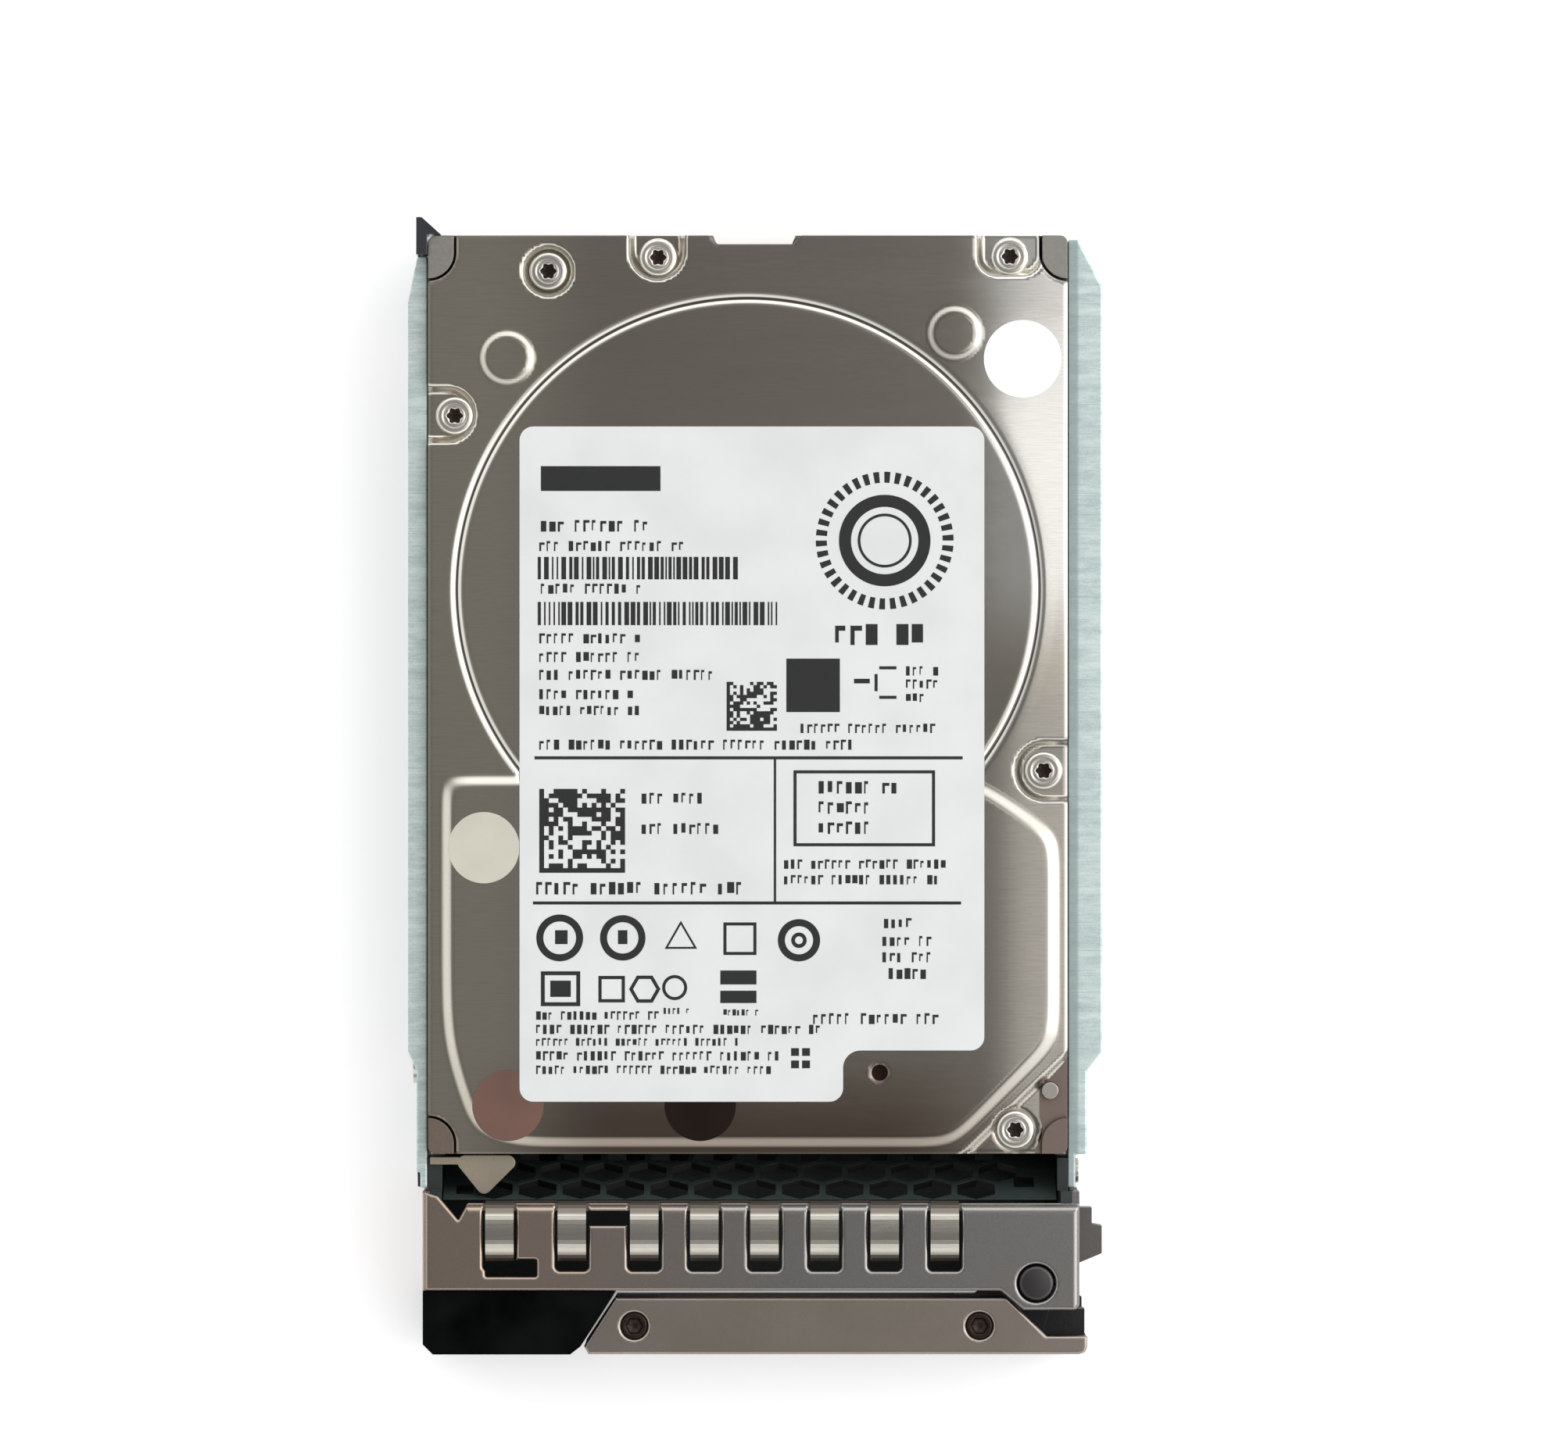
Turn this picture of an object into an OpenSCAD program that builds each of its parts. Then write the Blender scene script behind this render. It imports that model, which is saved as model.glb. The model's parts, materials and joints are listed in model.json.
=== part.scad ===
// A 2.5-inch hard disk drive, 15 mm high, in the slide-in carrier of a server bay.
// +X is right, +Y is towards the connector end, +Z is up out of the drive's cover.
// Sizes are worked out from the drive's centre, then the whole object is moved
// so that the origin lies under the middle of its box, on the plane it rests on.

/* [Drive body] */
// Width across the sides
drive_w = 69.85; // [69.85:0.05:90]
// Length from the front edge to the connector edge
drive_l = 100.35; // [100.35:0.05:125]
// Height from the underside to the top of the cover
drive_h = 15; // [15:0.1:19]
// Height of the drive's underside above the resting plane
drive_lift = 1; // [0.8:0.1:2]
// Thickness of the casting's floor
floor_t = 1; // [0.8:0.1:1.5]
// Depth of the recess for the circuit board
board_recess_h = 3; // [3:0.1:3.5]
// Radius of the tapped mounting holes
mount_hole_r = 1.25; // [1:0.05:1.3]
// Depth of the mounting holes in the underside
mount_hole_depth = 3; // [2:0.1:3]
// Distance across the drive between the holes in the underside
mount_pitch_x = 61.72; // [60:0.01:62]
// Distance from the connector edge to the rear mounting holes
mount_rear = 14; // [13:0.1:15]
// Distance along the drive between front and rear mounting holes
mount_pitch_y = 76.6; // [70:0.1:78]
// Height of the side mounting holes above the drive's underside
side_hole_h = 3; // [3:0.1:3.2]
// Depth of the side mounting holes
side_hole_depth = 2.6; // [2:0.1:2.6]

/* [Cover] */
// Thickness of the cover sheet
lid_t = 0.7; // [0.5:0.1:0.8]
// Height of the raised disc and arm areas above the cover's edge
lid_step = 0.5; // [0.3:0.1:0.6]
// Depth of the sunk screw seats below the cover's edge
seat_depth = 1; // [0.8:0.1:1.1]
// Radius of the cut corners
corner_r = 3.1; // [2.8:0.1:3.2]
// Distance from the connector edge to the middle of the rear corner cuts
corner_rear = 1.9; // [1.5:0.1:2.1]
// Distance from the front edge to the middle of the front corner cuts
corner_front = 1.1; // [0.8:0.1:1.3]
// Radius of the cover screw heads
lid_head_r = 2.1; // [1.8:0.1:2.2]
// Height of the cover screw heads
lid_head_h = 0.8; // [0.6:0.1:0.9]
// Radius of the cover screw shanks
lid_shank_r = 0.85; // [0.7:0.05:0.9]
// Length of the cover screw shanks
lid_shank_l = 5; // [4:0.1:5.5]
// Thickness of the label and seal stickers
label_t = 0.1; // [0.05:0.05:0.15]

/* [Discs and motor] */
// Outer radius of a disc
disc_r = 32.5; // [27:0.1:32.6]
// Radius of the hole in a disc
disc_bore_r = 10; // [10:0.1:11]
// Thickness of a disc
disc_t = 0.8; // [0.6:0.05:0.8]
// Number of discs
disc_count = 3; // [1:1:3]
// Gap between two discs
disc_gap = 1.9; // [1.85:0.05:1.95]
// Distance from the connector edge to the disc centre
disc_from_rear = 38.7; // [38.5:0.1:42]
// Gap between the discs' rim and the casting
shroud_gap = 0.6; // [0.4:0.05:0.8]
// Radius of the fixed motor shaft
shaft_r = 2.5; // [2:0.1:2.6]
// Teeth of the motor's core
stator_teeth = 9; // [6:3:12]

/* [Head arm] */
// Gap between the discs' rim and the arm's pivot centre
pivot_from_rim = 7.3; // [7:0.1:9]
// Direction from the disc centre to the arm's pivot, in degrees
pivot_dir = -75.4; // [-78:0.1:-73]
// Distance from the pivot to the heads
head_reach = 33; // [30:0.1:33.5]
// Thickness of an arm
arm_t = 0.8; // [0.6:0.05:0.8]
// Running clearance of shafts in their bores
run_gap = 0.05; // [0.02:0.01:0.08]

/* [Carrier rails] */
// Thickness of the rail sheet
rail_t = 0.8; // [0.6:0.1:1]
// Gap between the drive's side and a rail
rail_gap = 0.1; // [0.05:0.05:0.2]
// Height of the rails
rail_h = 14; // [13:0.1:15]
// Width of the left rail seen from above
rail_left_w = 2.15; // [2.1:0.05:3]
// Width of the right rail seen from above
rail_right_w = 3.75; // [3:0.05:4]
// Length of rail beyond the drive's front edge, up to the front frame
rail_reach = 3.8; // [3.6:0.1:5]

/* [Carrier front] */
// Height of the front shell's top face
shell_h = 16.8; // [16.8:0.1:22]
// Thickness of the shell sheet
shell_t = 0.8; // [0.6:0.1:0.9]
// Gap along the drive between the drive's front edge and the shell
shell_gap = 5.4; // [5.2:0.1:8]
// Depth of the shell along the drive, without the pivot corner
shell_l = 9.5; // [9.3:0.1:12]
// Extra depth of the shell at the pivot corner
pivot_corner_l = 2.1; // [1.9:0.1:2.4]
// Thickness of the front frame's floor
frame_floor_t = 1; // [0.8:0.1:1.2]
// Height at which the vent grille starts to lean
grille_foot_z = 4.5; // [3.5:0.1:5.5]
// Distance between the grille's holes
grille_pitch = 4.8; // [4.5:0.1:5]
// Width of the webs between the grille's holes
grille_web = 0.7; // [0.6:0.05:1]
// Width of a contact finger
finger_w = 3.1; // [2.8:0.1:3.3]
// Distance between the six evenly spaced fingers
finger_pitch = 6.56; // [6.3:0.01:6.8]
// Distance between the fingers at the left end
finger_wide_pitch = 7.9; // [7.5:0.1:8.2]
// Thickness of the finger strip
finger_t = 0.25; // [0.2:0.05:0.3]

/* [Handle] */
// Depth of the handle bar along the drive
handle_d = 6.2; // [6:0.1:7]
// Gap between the shell and the handle bar
handle_gap = 0.8; // [0.6:0.1:1]
// Distance from the shell's right side to the pivot
pivot_from_side = 4.7; // [4.6:0.1:5]
// Radius of the pivot rivet's shank
pivot_shank_r = 1.5; // [1.2:0.1:1.6]
// Radius of the pivot rivet's flush head
pivot_head_r = 2.05; // [1.9:0.05:2.2]
// Reach of the hook beyond the shell's side
hook_reach = 2.6; // [2:0.1:3]
// Width of the black end of the front
latch_w = 17.6; // [16:0.1:20]
// Travel of the release button
button_travel = 1.5; // [1:0.1:1.6]

/* [Hidden] */
$fn = 64;
far = 200;
fit = 0.05;
clear = 0.3;
half_w = drive_w / 2;
half_l = drive_l / 2;
rear_y = half_l;
front_y = -half_l;

// Levels of the drive, from the underside up
base_z = drive_lift;
floor_z = base_z + board_recess_h;
cavity_z = floor_z + floor_t;
lid_z = base_z + drive_h;
edge_z = lid_z - lid_step;
rim_z = edge_z - lid_t;
seat_z = edge_z - seat_depth;
cup_t = 0.5;
gasket_h = 0.5;
gasket_w = 0.7;
corner_gap = 0.3;
corner_post_z = lid_z - 0.5;

// Discs: the lowest one stands on the hub's flange
hub_flange_z = cavity_z + 1;
hub_flange_t = 0.8;
disc_y = rear_y - disc_from_rear;
disc_pitch = disc_t + disc_gap;
disc_z = hub_flange_z + hub_flange_t;
stack_top_z = disc_z + disc_count * disc_pitch - disc_gap;
shroud_r = disc_r + shroud_gap;
hub_r = disc_bore_r - fit;
clamp_r = disc_bore_r + 2;
clamp_t = 0.8;
sleeve_r = 4;
magnet_outer_r = hub_r - 1;
magnet_inner_r = magnet_outer_r - 1;
stator_r = magnet_inner_r - 0.4;
stator_inner_r = sleeve_r + 0.4;
stator_z = hub_flange_z + 0.4;
stator_t = 1.2;

// Head arm: it rests with its heads parked just outside the discs
pivot_d = disc_r + pivot_from_rim;
pivot_x = pivot_d * cos(pivot_dir);
pivot_y = disc_y + pivot_d * sin(pivot_dir);
park_r = disc_r + 2.2;
park_angle = acos((pivot_d * pivot_d + head_reach * head_reach - park_r * park_r) / (2 * pivot_d * head_reach));
arm_dir = pivot_dir + 180 + park_angle;
arm_l = head_reach - 8;
arm_block_r = 5;
bearing_r = 3.6;
arm_block_z = cavity_z + 0.4;
arm_count = disc_count + 1;
arm_mid_z = disc_z - disc_gap / 2;
arm_top_z = arm_mid_z + disc_count * disc_pitch + arm_t / 2;
suspension_t = 0.12;
suspension_dz = arm_t / 2 - suspension_t;
slider_t = 0.25;
coil_z = cavity_z + 4.1;
coil_t = 1.6;
coil_gap = 0.5;
magnet_t = 1.6;
yoke_t = 1.4;
coil_r0 = 8;
coil_r1 = 16.5;
coil_half_angle = 20;
yoke_r0 = 6.6;
yoke_r1 = 18;
yoke_from = arm_dir - 180 - 78;
yoke_to = arm_dir - 180 + 42;

// Parking ramp: where it begins and ends beyond the heads, and its angles about the arm
ramp_r0 = 1.9;
ramp_r1 = 5;
ramp_from = 1;
ramp_to = 8;
ramp_room = 0.3;

// The cavity under the cover, besides the discs' round room
pocket_x0 = -half_w + 4.4;
pocket_x1 = half_w - 3.4;
pocket_y0 = front_y + 4.6;
side_screw_y = disc_y - 19.8;
side_seat_r = 2.9;
pocket_y1 = side_screw_y - side_seat_r - 1.4;
pocket_cut_left = 5;
pocket_cut_right = 9;

// Carrier: the rails stand beside the drive, the front frame carries the shell
web_x = half_w + rail_gap;
rail_left_x = -web_x - rail_left_w;
rail_right_x = web_x + rail_right_w;
rail_end_y = front_y - rail_reach;
shell_z = shell_h - shell_t;
shell_rear_y = front_y - shell_gap;
shell_front_y = shell_rear_y - shell_l;
shell_over_left = 0.475;
shell_over_right = 1.175;
shell_x0 = -web_x - shell_over_left;
shell_x1 = web_x + shell_over_right;
ear_l = 1.3;
ear_y = shell_rear_y + ear_l;
frame_x0 = shell_x0 + shell_t + fit;
frame_x1 = shell_x1 - shell_t - fit;
frame_wall_t = 1.2;
pivot_hx = shell_x1 - pivot_from_side;
pivot_hy = shell_front_y + 0.8;
bar_y1 = shell_front_y - handle_gap;
bar_y0 = bar_y1 - handle_d;
handle_z0 = frame_floor_t + clear;
handle_z1 = shell_z - 0.7;
strip_t = 0.6;
strip_z = handle_z1;
hook_z0 = 5.4;
hook_z1 = 10;
hub_z0 = hook_z0 - 0.5;
hub_z1 = hook_z1 + 0.5;
hook_x = shell_x1 + hook_reach;
latch_x1 = shell_x0 + latch_w;
bar_lean = 3.4;
bar_x1 = shell_x1 + 0.9;
notch_y = bar_y1 - 4.2;

// Middle of the whole object's box
tip_y = rear_y + 2;
mid_x = (rail_left_x + hook_x) / 2;
mid_y = (bar_y0 - 0.1 + tip_y) / 2;

// Screws of the cover: place, seat radius and the way that the seat opens
lid_screws = [
    [-21.8, rear_y - 3.9, 3, -1],
    [-9.8, rear_y - 2.4, 3, 90],
    [half_w - 6.3, rear_y - 2.3, 3, 90],
    [-half_w + 2.9, disc_y + 19, 3, 180],
    [half_w - 2.6, side_screw_y, side_seat_r, 0],
    [half_w - 5.7, front_y + 2.6, 2.4, -1],
];
pin_spot = [half_w - 1.9, front_y + 6.9];
mount_ys = [rear_y - mount_rear, rear_y - mount_rear - mount_pitch_y];

// Moves a piece from the drive's centre to the object's own origin
module placed() {
    translate([-mid_x, -mid_y, 0]) children();
}

// A flat outline given its height
module slab(z0, z1) {
    translate([0, 0, z0]) linear_extrude(z1 - z0) children();
}

module tube(r0, r1, z0, z1) {
    slab(z0, z1) difference() {
        circle(r1);
        circle(r0);
    }
}

module box(x0, y0, z0, x1, y1, z1) {
    translate([x0, y0, z0]) cube([x1 - x0, y1 - y0, z1 - z0]);
}

// A rectangle with round corners, made of straight sides and quarter circles
module round_rect(x0, y0, x1, y1, r) {
    translate([x0 + r, y0]) square([x1 - x0 - 2 * r, y1 - y0]);
    translate([x0, y0 + r]) square([x1 - x0, y1 - y0 - 2 * r]);
    for (x = [x0 + r, x1 - r], y = [y0 + r, y1 - r])
        translate([x, y]) circle(r);
}

// A ring sector about the origin, from one angle to another
module sector(r0, r1, a0, a1) {
    steps = 16;
    polygon(concat(
        [for (i = [0 : steps]) r1 * [cos(a0 + (a1 - a0) * i / steps), sin(a0 + (a1 - a0) * i / steps)]],
        [for (i = [steps : -1 : 0]) r0 * [cos(a0 + (a1 - a0) * i / steps), sin(a0 + (a1 - a0) * i / steps)]]));
}

// A screw with a round head and a six-sided socket, standing on z = 0
module screw(head_r, head_h, shank_r, shank_l) {
    socket_r = head_r * 0.45;
    difference() {
        cylinder(r = head_r, h = head_h);
        translate([0, 0, head_h * 0.4]) cylinder(r = socket_r, h = head_h, $fn = 6);
    }
    translate([0, 0, -shank_l]) cylinder(r = shank_r, h = shank_l);
}

// A round wire wound about Z: rings of eight points joined in a helix
module coil_spring(r, wire, z0, z1, turns) {
    per_turn = 14;
    sides = 8;
    rings = turns * per_turn;
    points = [for (i = [0 : rings], k = [0 : sides - 1])
        let (a = 360 * i / per_turn, b = 360 * k / sides, q = r + wire / 2 * cos(b))
        [q * cos(a), q * sin(a), z0 + (z1 - z0) * i / rings + wire / 2 * sin(b)]];
    skins = [for (i = [0 : rings - 1], k = [0 : sides - 1])
        let (n = (k + 1) % sides)
        [i * sides + k, i * sides + n, (i + 1) * sides + n, (i + 1) * sides + k]];
    ends = [[for (k = [sides - 1 : -1 : 0]) k], [for (k = [0 : sides - 1]) rings * sides + k]];
    polyhedron(points, concat(skins, ends));
}

// Outlines that the casting and the cover share
module drive_outline(inset = 0) {
    round_rect(-half_w + inset, front_y + inset, half_w - inset, rear_y - inset, 0.8);
}

module corner_cuts(r) {
    for (x = [-half_w, half_w]) {
        translate([x, rear_y - corner_rear]) {
            circle(r);
            translate([-r, 0]) square([2 * r, corner_rear + 1]);
        }
        translate([x, front_y + corner_front]) {
            circle(r);
            translate([-r, -corner_front - 1]) square([2 * r, corner_front + 1]);
        }
    }
}

module rear_notch() {
    polygon([[-4.2, rear_y + 1], [-3.4, rear_y - 1], [4.8, rear_y - 1], [5.6, rear_y + 1]]);
}

// One seat is a round pocket, drawn out to the drive's edge where it opens that way
module seat_outline(spot, grow) {
    translate([spot[0], spot[1]]) {
        circle(spot[2] + grow);
        if (spot[3] >= 0)
            rotate(spot[3]) translate([0, -spot[2] - grow]) square([10, 2 * (spot[2] + grow)]);
    }
}

module seat_outlines(grow) {
    for (spot = lid_screws) seat_outline(spot, grow);
}

// The room under the cover: round at the discs, six-sided at the arm
module cavity_outline(grow) {
    slant = grow * tan(22.5);
    translate([0, disc_y]) circle(shroud_r + grow);
    translate([pivot_x, pivot_y])
        sector(0, head_reach + ramp_r1 + ramp_room + grow, arm_dir - ramp_from - ramp_room, arm_dir + ramp_to + ramp_room);
    polygon([[pocket_x0 - grow, pocket_y1 + grow], [pocket_x1 + grow, pocket_y1 + grow],
        [pocket_x1 + grow, pocket_y0 + pocket_cut_right - slant],
        [pocket_x1 - pocket_cut_right + slant, pocket_y0 - grow],
        [pocket_x0 + pocket_cut_left - slant, pocket_y0 - grow],
        [pocket_x0 - grow, pocket_y0 + pocket_cut_left - slant]]);
}

// The raised part of the cover: a disc, and a field over the arm
module raised_outline() {
    translate([0, disc_y]) circle(disc_r);
    polygon([[-half_w + 1.8, disc_y - 18.8], [-half_w + 1.8, front_y + 12.3], [-half_w + 4.3, front_y + 3.4],
        [-half_w + 6.4, front_y + 1.2], [half_w - 11.9, front_y + 1.2], [half_w - 1.2, front_y + 11.9],
        [half_w - 1.5, disc_y - 26.8], [half_w - 4.2, disc_y - 24.5], [half_w - 7.2, disc_y - 23.3],
        [half_w - 8.6, disc_y - 18.8]]);
}

module at_pivot() {
    translate([pivot_x, pivot_y, 0]) children();
}

// Drive casting: a tub with a floor, a board recess below and tapped holes
module base_casting() placed() color("#b9bbb8") difference() {
    union() {
        slab(base_z, rim_z) drive_outline();
        slab(rim_z, corner_post_z) intersection() {
            drive_outline();
            corner_cuts(corner_r - corner_gap);
        }
    }
    difference() {
        slab(cavity_z, far) cavity_outline(0);
        translate([0, disc_y, 0]) tube(shaft_r + 1.8, stator_inner_r + 1, 0, stator_z);
    }
    slab(rim_z - gasket_h, far) difference() {
        cavity_outline(gasket_w + fit);
        corner_cuts(corner_r);
    }
    slab(seat_z - cup_t - fit, far) seat_outlines(cup_t + fit);
    slab(0, far) rear_notch();
    slab(0, board_z + board_t) board_outline(0.3);
    slab(board_z, floor_z) board_recess();
    box(connector_x0 - fit, board_rear_y - fit, 0, connector_x1 + fit, far, connector_z1 + fit);
    for (spot = lid_screws)
        translate([spot[0], spot[1], seat_z - lid_shank_l - fit]) cylinder(r = lid_shank_r + fit, h = far);
    translate([pin_spot[0], pin_spot[1], rim_z - 3]) cylinder(r = 0.5 + fit, h = far);
    for (x = [-mount_pitch_x / 2, mount_pitch_x / 2], y = mount_ys)
        translate([x, y, 0]) cylinder(r = mount_hole_r, h = base_z + mount_hole_depth);
    for (side = [-1, 1], y = mount_ys)
        translate([side * (half_w - side_hole_depth), y, base_z + side_hole_h])
            rotate([0, side * 90, 0]) cylinder(r = mount_hole_r, h = far);
    translate([0, disc_y, floor_z]) cylinder(r = shaft_r + 0.02, h = far);
    at_pivot() translate([0, 0, floor_z + 0.2]) cylinder(r = shaft_r + 0.02, h = far);
    for (spot = board_screw_spots)
        translate([spot[0], spot[1], 0]) cylinder(r = board_shank_r + fit, h = board_screw_top + fit);
}

// The recess for the circuit board leaves a round post for each board screw
module board_recess() {
    difference() {
        board_outline(0.3);
        for (spot = board_screw_spots) translate(spot) circle(board_post_r);
    }
}

module lid_outline() {
    difference() {
        drive_outline();
        corner_cuts(corner_r);
        rear_notch();
    }
}

// Stamped cover with raised fields, a ring groove, sunk screw seats and dimples
module top_cover() placed() color("#8a8175") difference() {
    union() {
        slab(rim_z, edge_z) lid_outline();
        slab(rim_z, lid_z) raised_outline();
        slab(seat_z - cup_t, edge_z) intersection() {
            lid_outline();
            seat_outlines(cup_t);
        }
    }
    slab(seat_z, far) seat_outlines(0);
    translate([0, disc_y, 0]) tube(disc_r - 1.4, disc_r - 0.3, lid_z - 0.3, far);
    translate([0, disc_y, 0]) slab(0, rim_z + lid_step) circle(disc_r - 0.8);
    for (spot = [[-26.3, disc_y + 25.3], [22.6, disc_y + 28]])
        translate([spot[0], spot[1], edge_z - 0.25]) cylinder(r = 3.1, h = far);
    for (spot = lid_screws)
        translate([spot[0], spot[1], 0]) cylinder(r = lid_shank_r + 0.1, h = far);
    translate([pin_spot[0], pin_spot[1], 0]) cylinder(r = 0.5 + fit, h = far);
    translate([breather_x, breather_y, 0]) cylinder(r = 0.9, h = far);
}

module cover_gasket() placed() color("#23262a") slab(rim_z - gasket_h, rim_z) difference() {
    cavity_outline(gasket_w);
    cavity_outline(0.1);
    corner_cuts(corner_r);
}

module cover_screws() placed() color("#c9c8c4") {
    for (spot = lid_screws)
        translate([spot[0], spot[1], seat_z]) screw(lid_head_r, lid_head_h, lid_shank_r, lid_shank_l);
}

module locating_pin() placed() color("#c9c8c4") translate([pin_spot[0], pin_spot[1], 0]) {
    translate([0, 0, edge_z]) cylinder(r = 0.9, h = 0.3);
    translate([0, 0, rim_z - 2.9]) cylinder(r = 0.5, h = edge_z - rim_z + 2.9);
}

// Label sheet with a stepped lower right corner
label_x0 = -half_w + 10;
label_x1 = half_w - 9.1;
label_fillet_r = 1.9;
label_y0 = front_y + 5.7;
label_y1 = disc_y + 17.8;
label_step_x = 10.4;
label_step_y = label_y0 + 5.6;
label_corner_r = 1.5;

module label_outline(grow = 0) {
    round_rect(label_x0 - grow, label_step_y - grow, label_x1 + grow, label_y1 + grow, label_corner_r);
    round_rect(label_x0 - grow, label_y0 - grow, label_step_x + grow, label_step_y + 3 * label_corner_r, label_corner_r);
    translate([label_step_x + grow, label_step_y - grow - label_fillet_r]) difference() {
        square(label_fillet_r);
        translate([label_fillet_r, 0]) circle(label_fillet_r);
    }
}

module label() placed() color("#e9eaea") slab(lid_z, lid_z + label_t) label_outline();

// A round seal stuck down on the cover, hidden where the label lies over it
module seal(x, y, r, z) {
    slab(z, z + label_t) difference() {
        translate([x, y]) circle(r);
        label_outline(fit);
    }
}

module white_seals() placed() color("#f2f1ec") {
    seal(half_w - 4.9, disc_y + 25.2, 4.25, edge_z);
    seal(-half_w + 6.1, disc_y - 28.2, 3.9, lid_z);
}

module red_seal() placed() color("#9a6f66") seal(-26.2, front_y + 5.3, 3.9, lid_z);

module dark_seal() placed() color("#2a211d") seal(-5.2, front_y + 5.3, 3.9, lid_z);

breather_x = 14.4;
breather_y = front_y + 8.9;

module breather_filter() placed() color("#6b2a22")
    translate([breather_x, breather_y, rim_z - 0.6]) cylinder(r = 3, h = 0.6);

module at_discs() placed() translate([0, disc_y, 0]) children();

module discs() color("#d8dadc") at_discs() {
    for (i = [0 : disc_count - 1]) {
        z = disc_z + i * disc_pitch;
        tube(disc_bore_r, disc_r, z, z + disc_t);
    }
}

module disc_spacers() color("#c4c6c8") at_discs() {
    for (i = [0 : 1 : disc_count - 2]) {
        z = disc_z + disc_t + i * disc_pitch;
        tube(disc_bore_r, clamp_r, z, z + disc_gap);
    }
}

// Hub: a sleeve on the shaft, a cap, and a skirt whose flange carries the discs
module spindle_hub() color("#b3b5b6") at_discs() difference() {
    rotate_extrude() polygon([[shaft_r + run_gap, cavity_z + 0.9], [sleeve_r, cavity_z + 0.9],
        [sleeve_r, stack_top_z - 3], [magnet_outer_r, stack_top_z - 3], [magnet_outer_r, hub_flange_z],
        [clamp_r, hub_flange_z], [clamp_r, disc_z], [hub_r, disc_z],
        [hub_r, stack_top_z - fit], [shaft_r + run_gap, stack_top_z - fit]]);
    clamp_screw_places() translate([0, 0, stack_top_z - 2]) cylinder(r = 0.65, h = far);
}

module clamp_screw_places() {
    for (i = [0 : 5]) rotate(60 * i) translate([7.2, 0, 0]) children();
}

module disc_clamp() color("#c9cacb") at_discs() difference() {
    tube(sleeve_r + 0.5, clamp_r, stack_top_z, stack_top_z + clamp_t);
    clamp_screw_places() cylinder(r = 0.7, h = far);
}

module clamp_screws() color("#9fa1a3") at_discs() clamp_screw_places()
    translate([0, 0, stack_top_z + clamp_t]) screw(1.1, 0.4, 0.6, 2.4);

module rotor_magnet() color("#3c3d40") at_discs()
    tube(magnet_inner_r, magnet_outer_r - 0.02, hub_flange_z, stack_top_z - 3.7);

module stator_tooth_places() {
    for (i = [0 : stator_teeth - 1]) rotate(360 * i / stator_teeth) children();
}

module stator_core() color("#6f7174") at_discs() {
    tube(stator_inner_r, stator_inner_r + 1, stator_z, stator_z + stator_t);
    stator_tooth_places() {
        box(stator_inner_r + 0.9, -0.4, stator_z, stator_r - 0.5, 0.4, stator_z + stator_t);
        slab(stator_z, stator_z + stator_t) sector(stator_r - 0.6, stator_r, -14, 14);
    }
}

module stator_windings() color("#b0683a") at_discs() stator_tooth_places() difference() {
    box(stator_inner_r + 1.05, -0.75, stator_z - 0.3, stator_r - 0.65, 0.75, stator_z + stator_t + 0.3);
    box(0, -0.42, stator_z - 0.02, far, 0.42, stator_z + stator_t + 0.02);
}

module spindle_shaft() color("#dcdddf") at_discs()
    translate([0, 0, floor_z]) cylinder(r = shaft_r, h = stack_top_z + 1.3 - floor_z);

// The arm is drawn pointing along +X from its pivot, then turned to its parked place
module at_arm() placed() at_pivot() rotate(arm_dir) children();

// Arm block: a round housing, one arm for each gap, and a fork for the coil
module arm_block() color("#a9abad") at_arm() difference() {
    union() {
        slab(arm_block_z, arm_top_z) circle(arm_block_r);
        for (i = [0 : arm_count - 1]) {
            z = arm_mid_z - arm_t / 2 + i * disc_pitch;
            slab(z, z + arm_t) difference() {
                polygon([[0, 4.4], [9, 3.4], [arm_l, 1.5], [arm_l, -1.5], [9, -3.4], [0, -4.4]]);
                polygon([[9, 1.4], [arm_l - 4, 0.5], [arm_l - 4, -0.5], [9, -1.4]]);
            }
        }
        slab(coil_z + 0.2, coil_z + coil_t - 0.2) {
            sector(arm_block_r - 0.6, coil_r0, 180 - coil_half_angle - 5, 180 + coil_half_angle + 5);
            for (side = [-1, 1])
                rotate(side * (coil_half_angle + 2.5)) sector(coil_r0 - 0.2, coil_r1 - 1, 177.5, 182.5);
        }
    }
    cylinder(r = bearing_r + fit, h = far);
}

// One suspension for each disc face: +1 looks up, -1 looks down
function head_sides(i) = i == 0 ? [1] : i == disc_count ? [-1] : [-1, 1];

module head_suspensions() color("#cfd1d2") at_arm() {
    for (i = [0 : disc_count], side = head_sides(i)) {
        face = arm_mid_z + i * disc_pitch + side * arm_t / 2;
        slab(min(face, face + side * suspension_t), max(face, face + side * suspension_t))
            polygon([[arm_l - 3, 1.4], [arm_l, 1.4], [head_reach, 0.5], [head_reach + 1.6, 0.3],
                [head_reach + 1.6, -0.3], [head_reach, -0.5], [arm_l, -1.4], [arm_l - 3, -1.4]]);
    }
}

module head_sliders() color("#2b2c30") at_arm() {
    for (i = [0 : disc_count], side = head_sides(i)) {
        face = arm_mid_z + i * disc_pitch + side * (arm_t / 2 + suspension_t);
        box(head_reach - 0.9, -0.45, min(face, face + side * slider_t),
            head_reach + 0.3, 0.45, max(face, face + side * slider_t));
    }
}

module voice_coil() color("#b5713c") at_arm() slab(coil_z, coil_z + coil_t) difference() {
    sector(coil_r0, coil_r1, 180 - coil_half_angle, 180 + coil_half_angle);
    sector(coil_r0 + 2, coil_r1 - 2, 180 - coil_half_angle * 0.55, 180 + coil_half_angle * 0.55);
}

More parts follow.
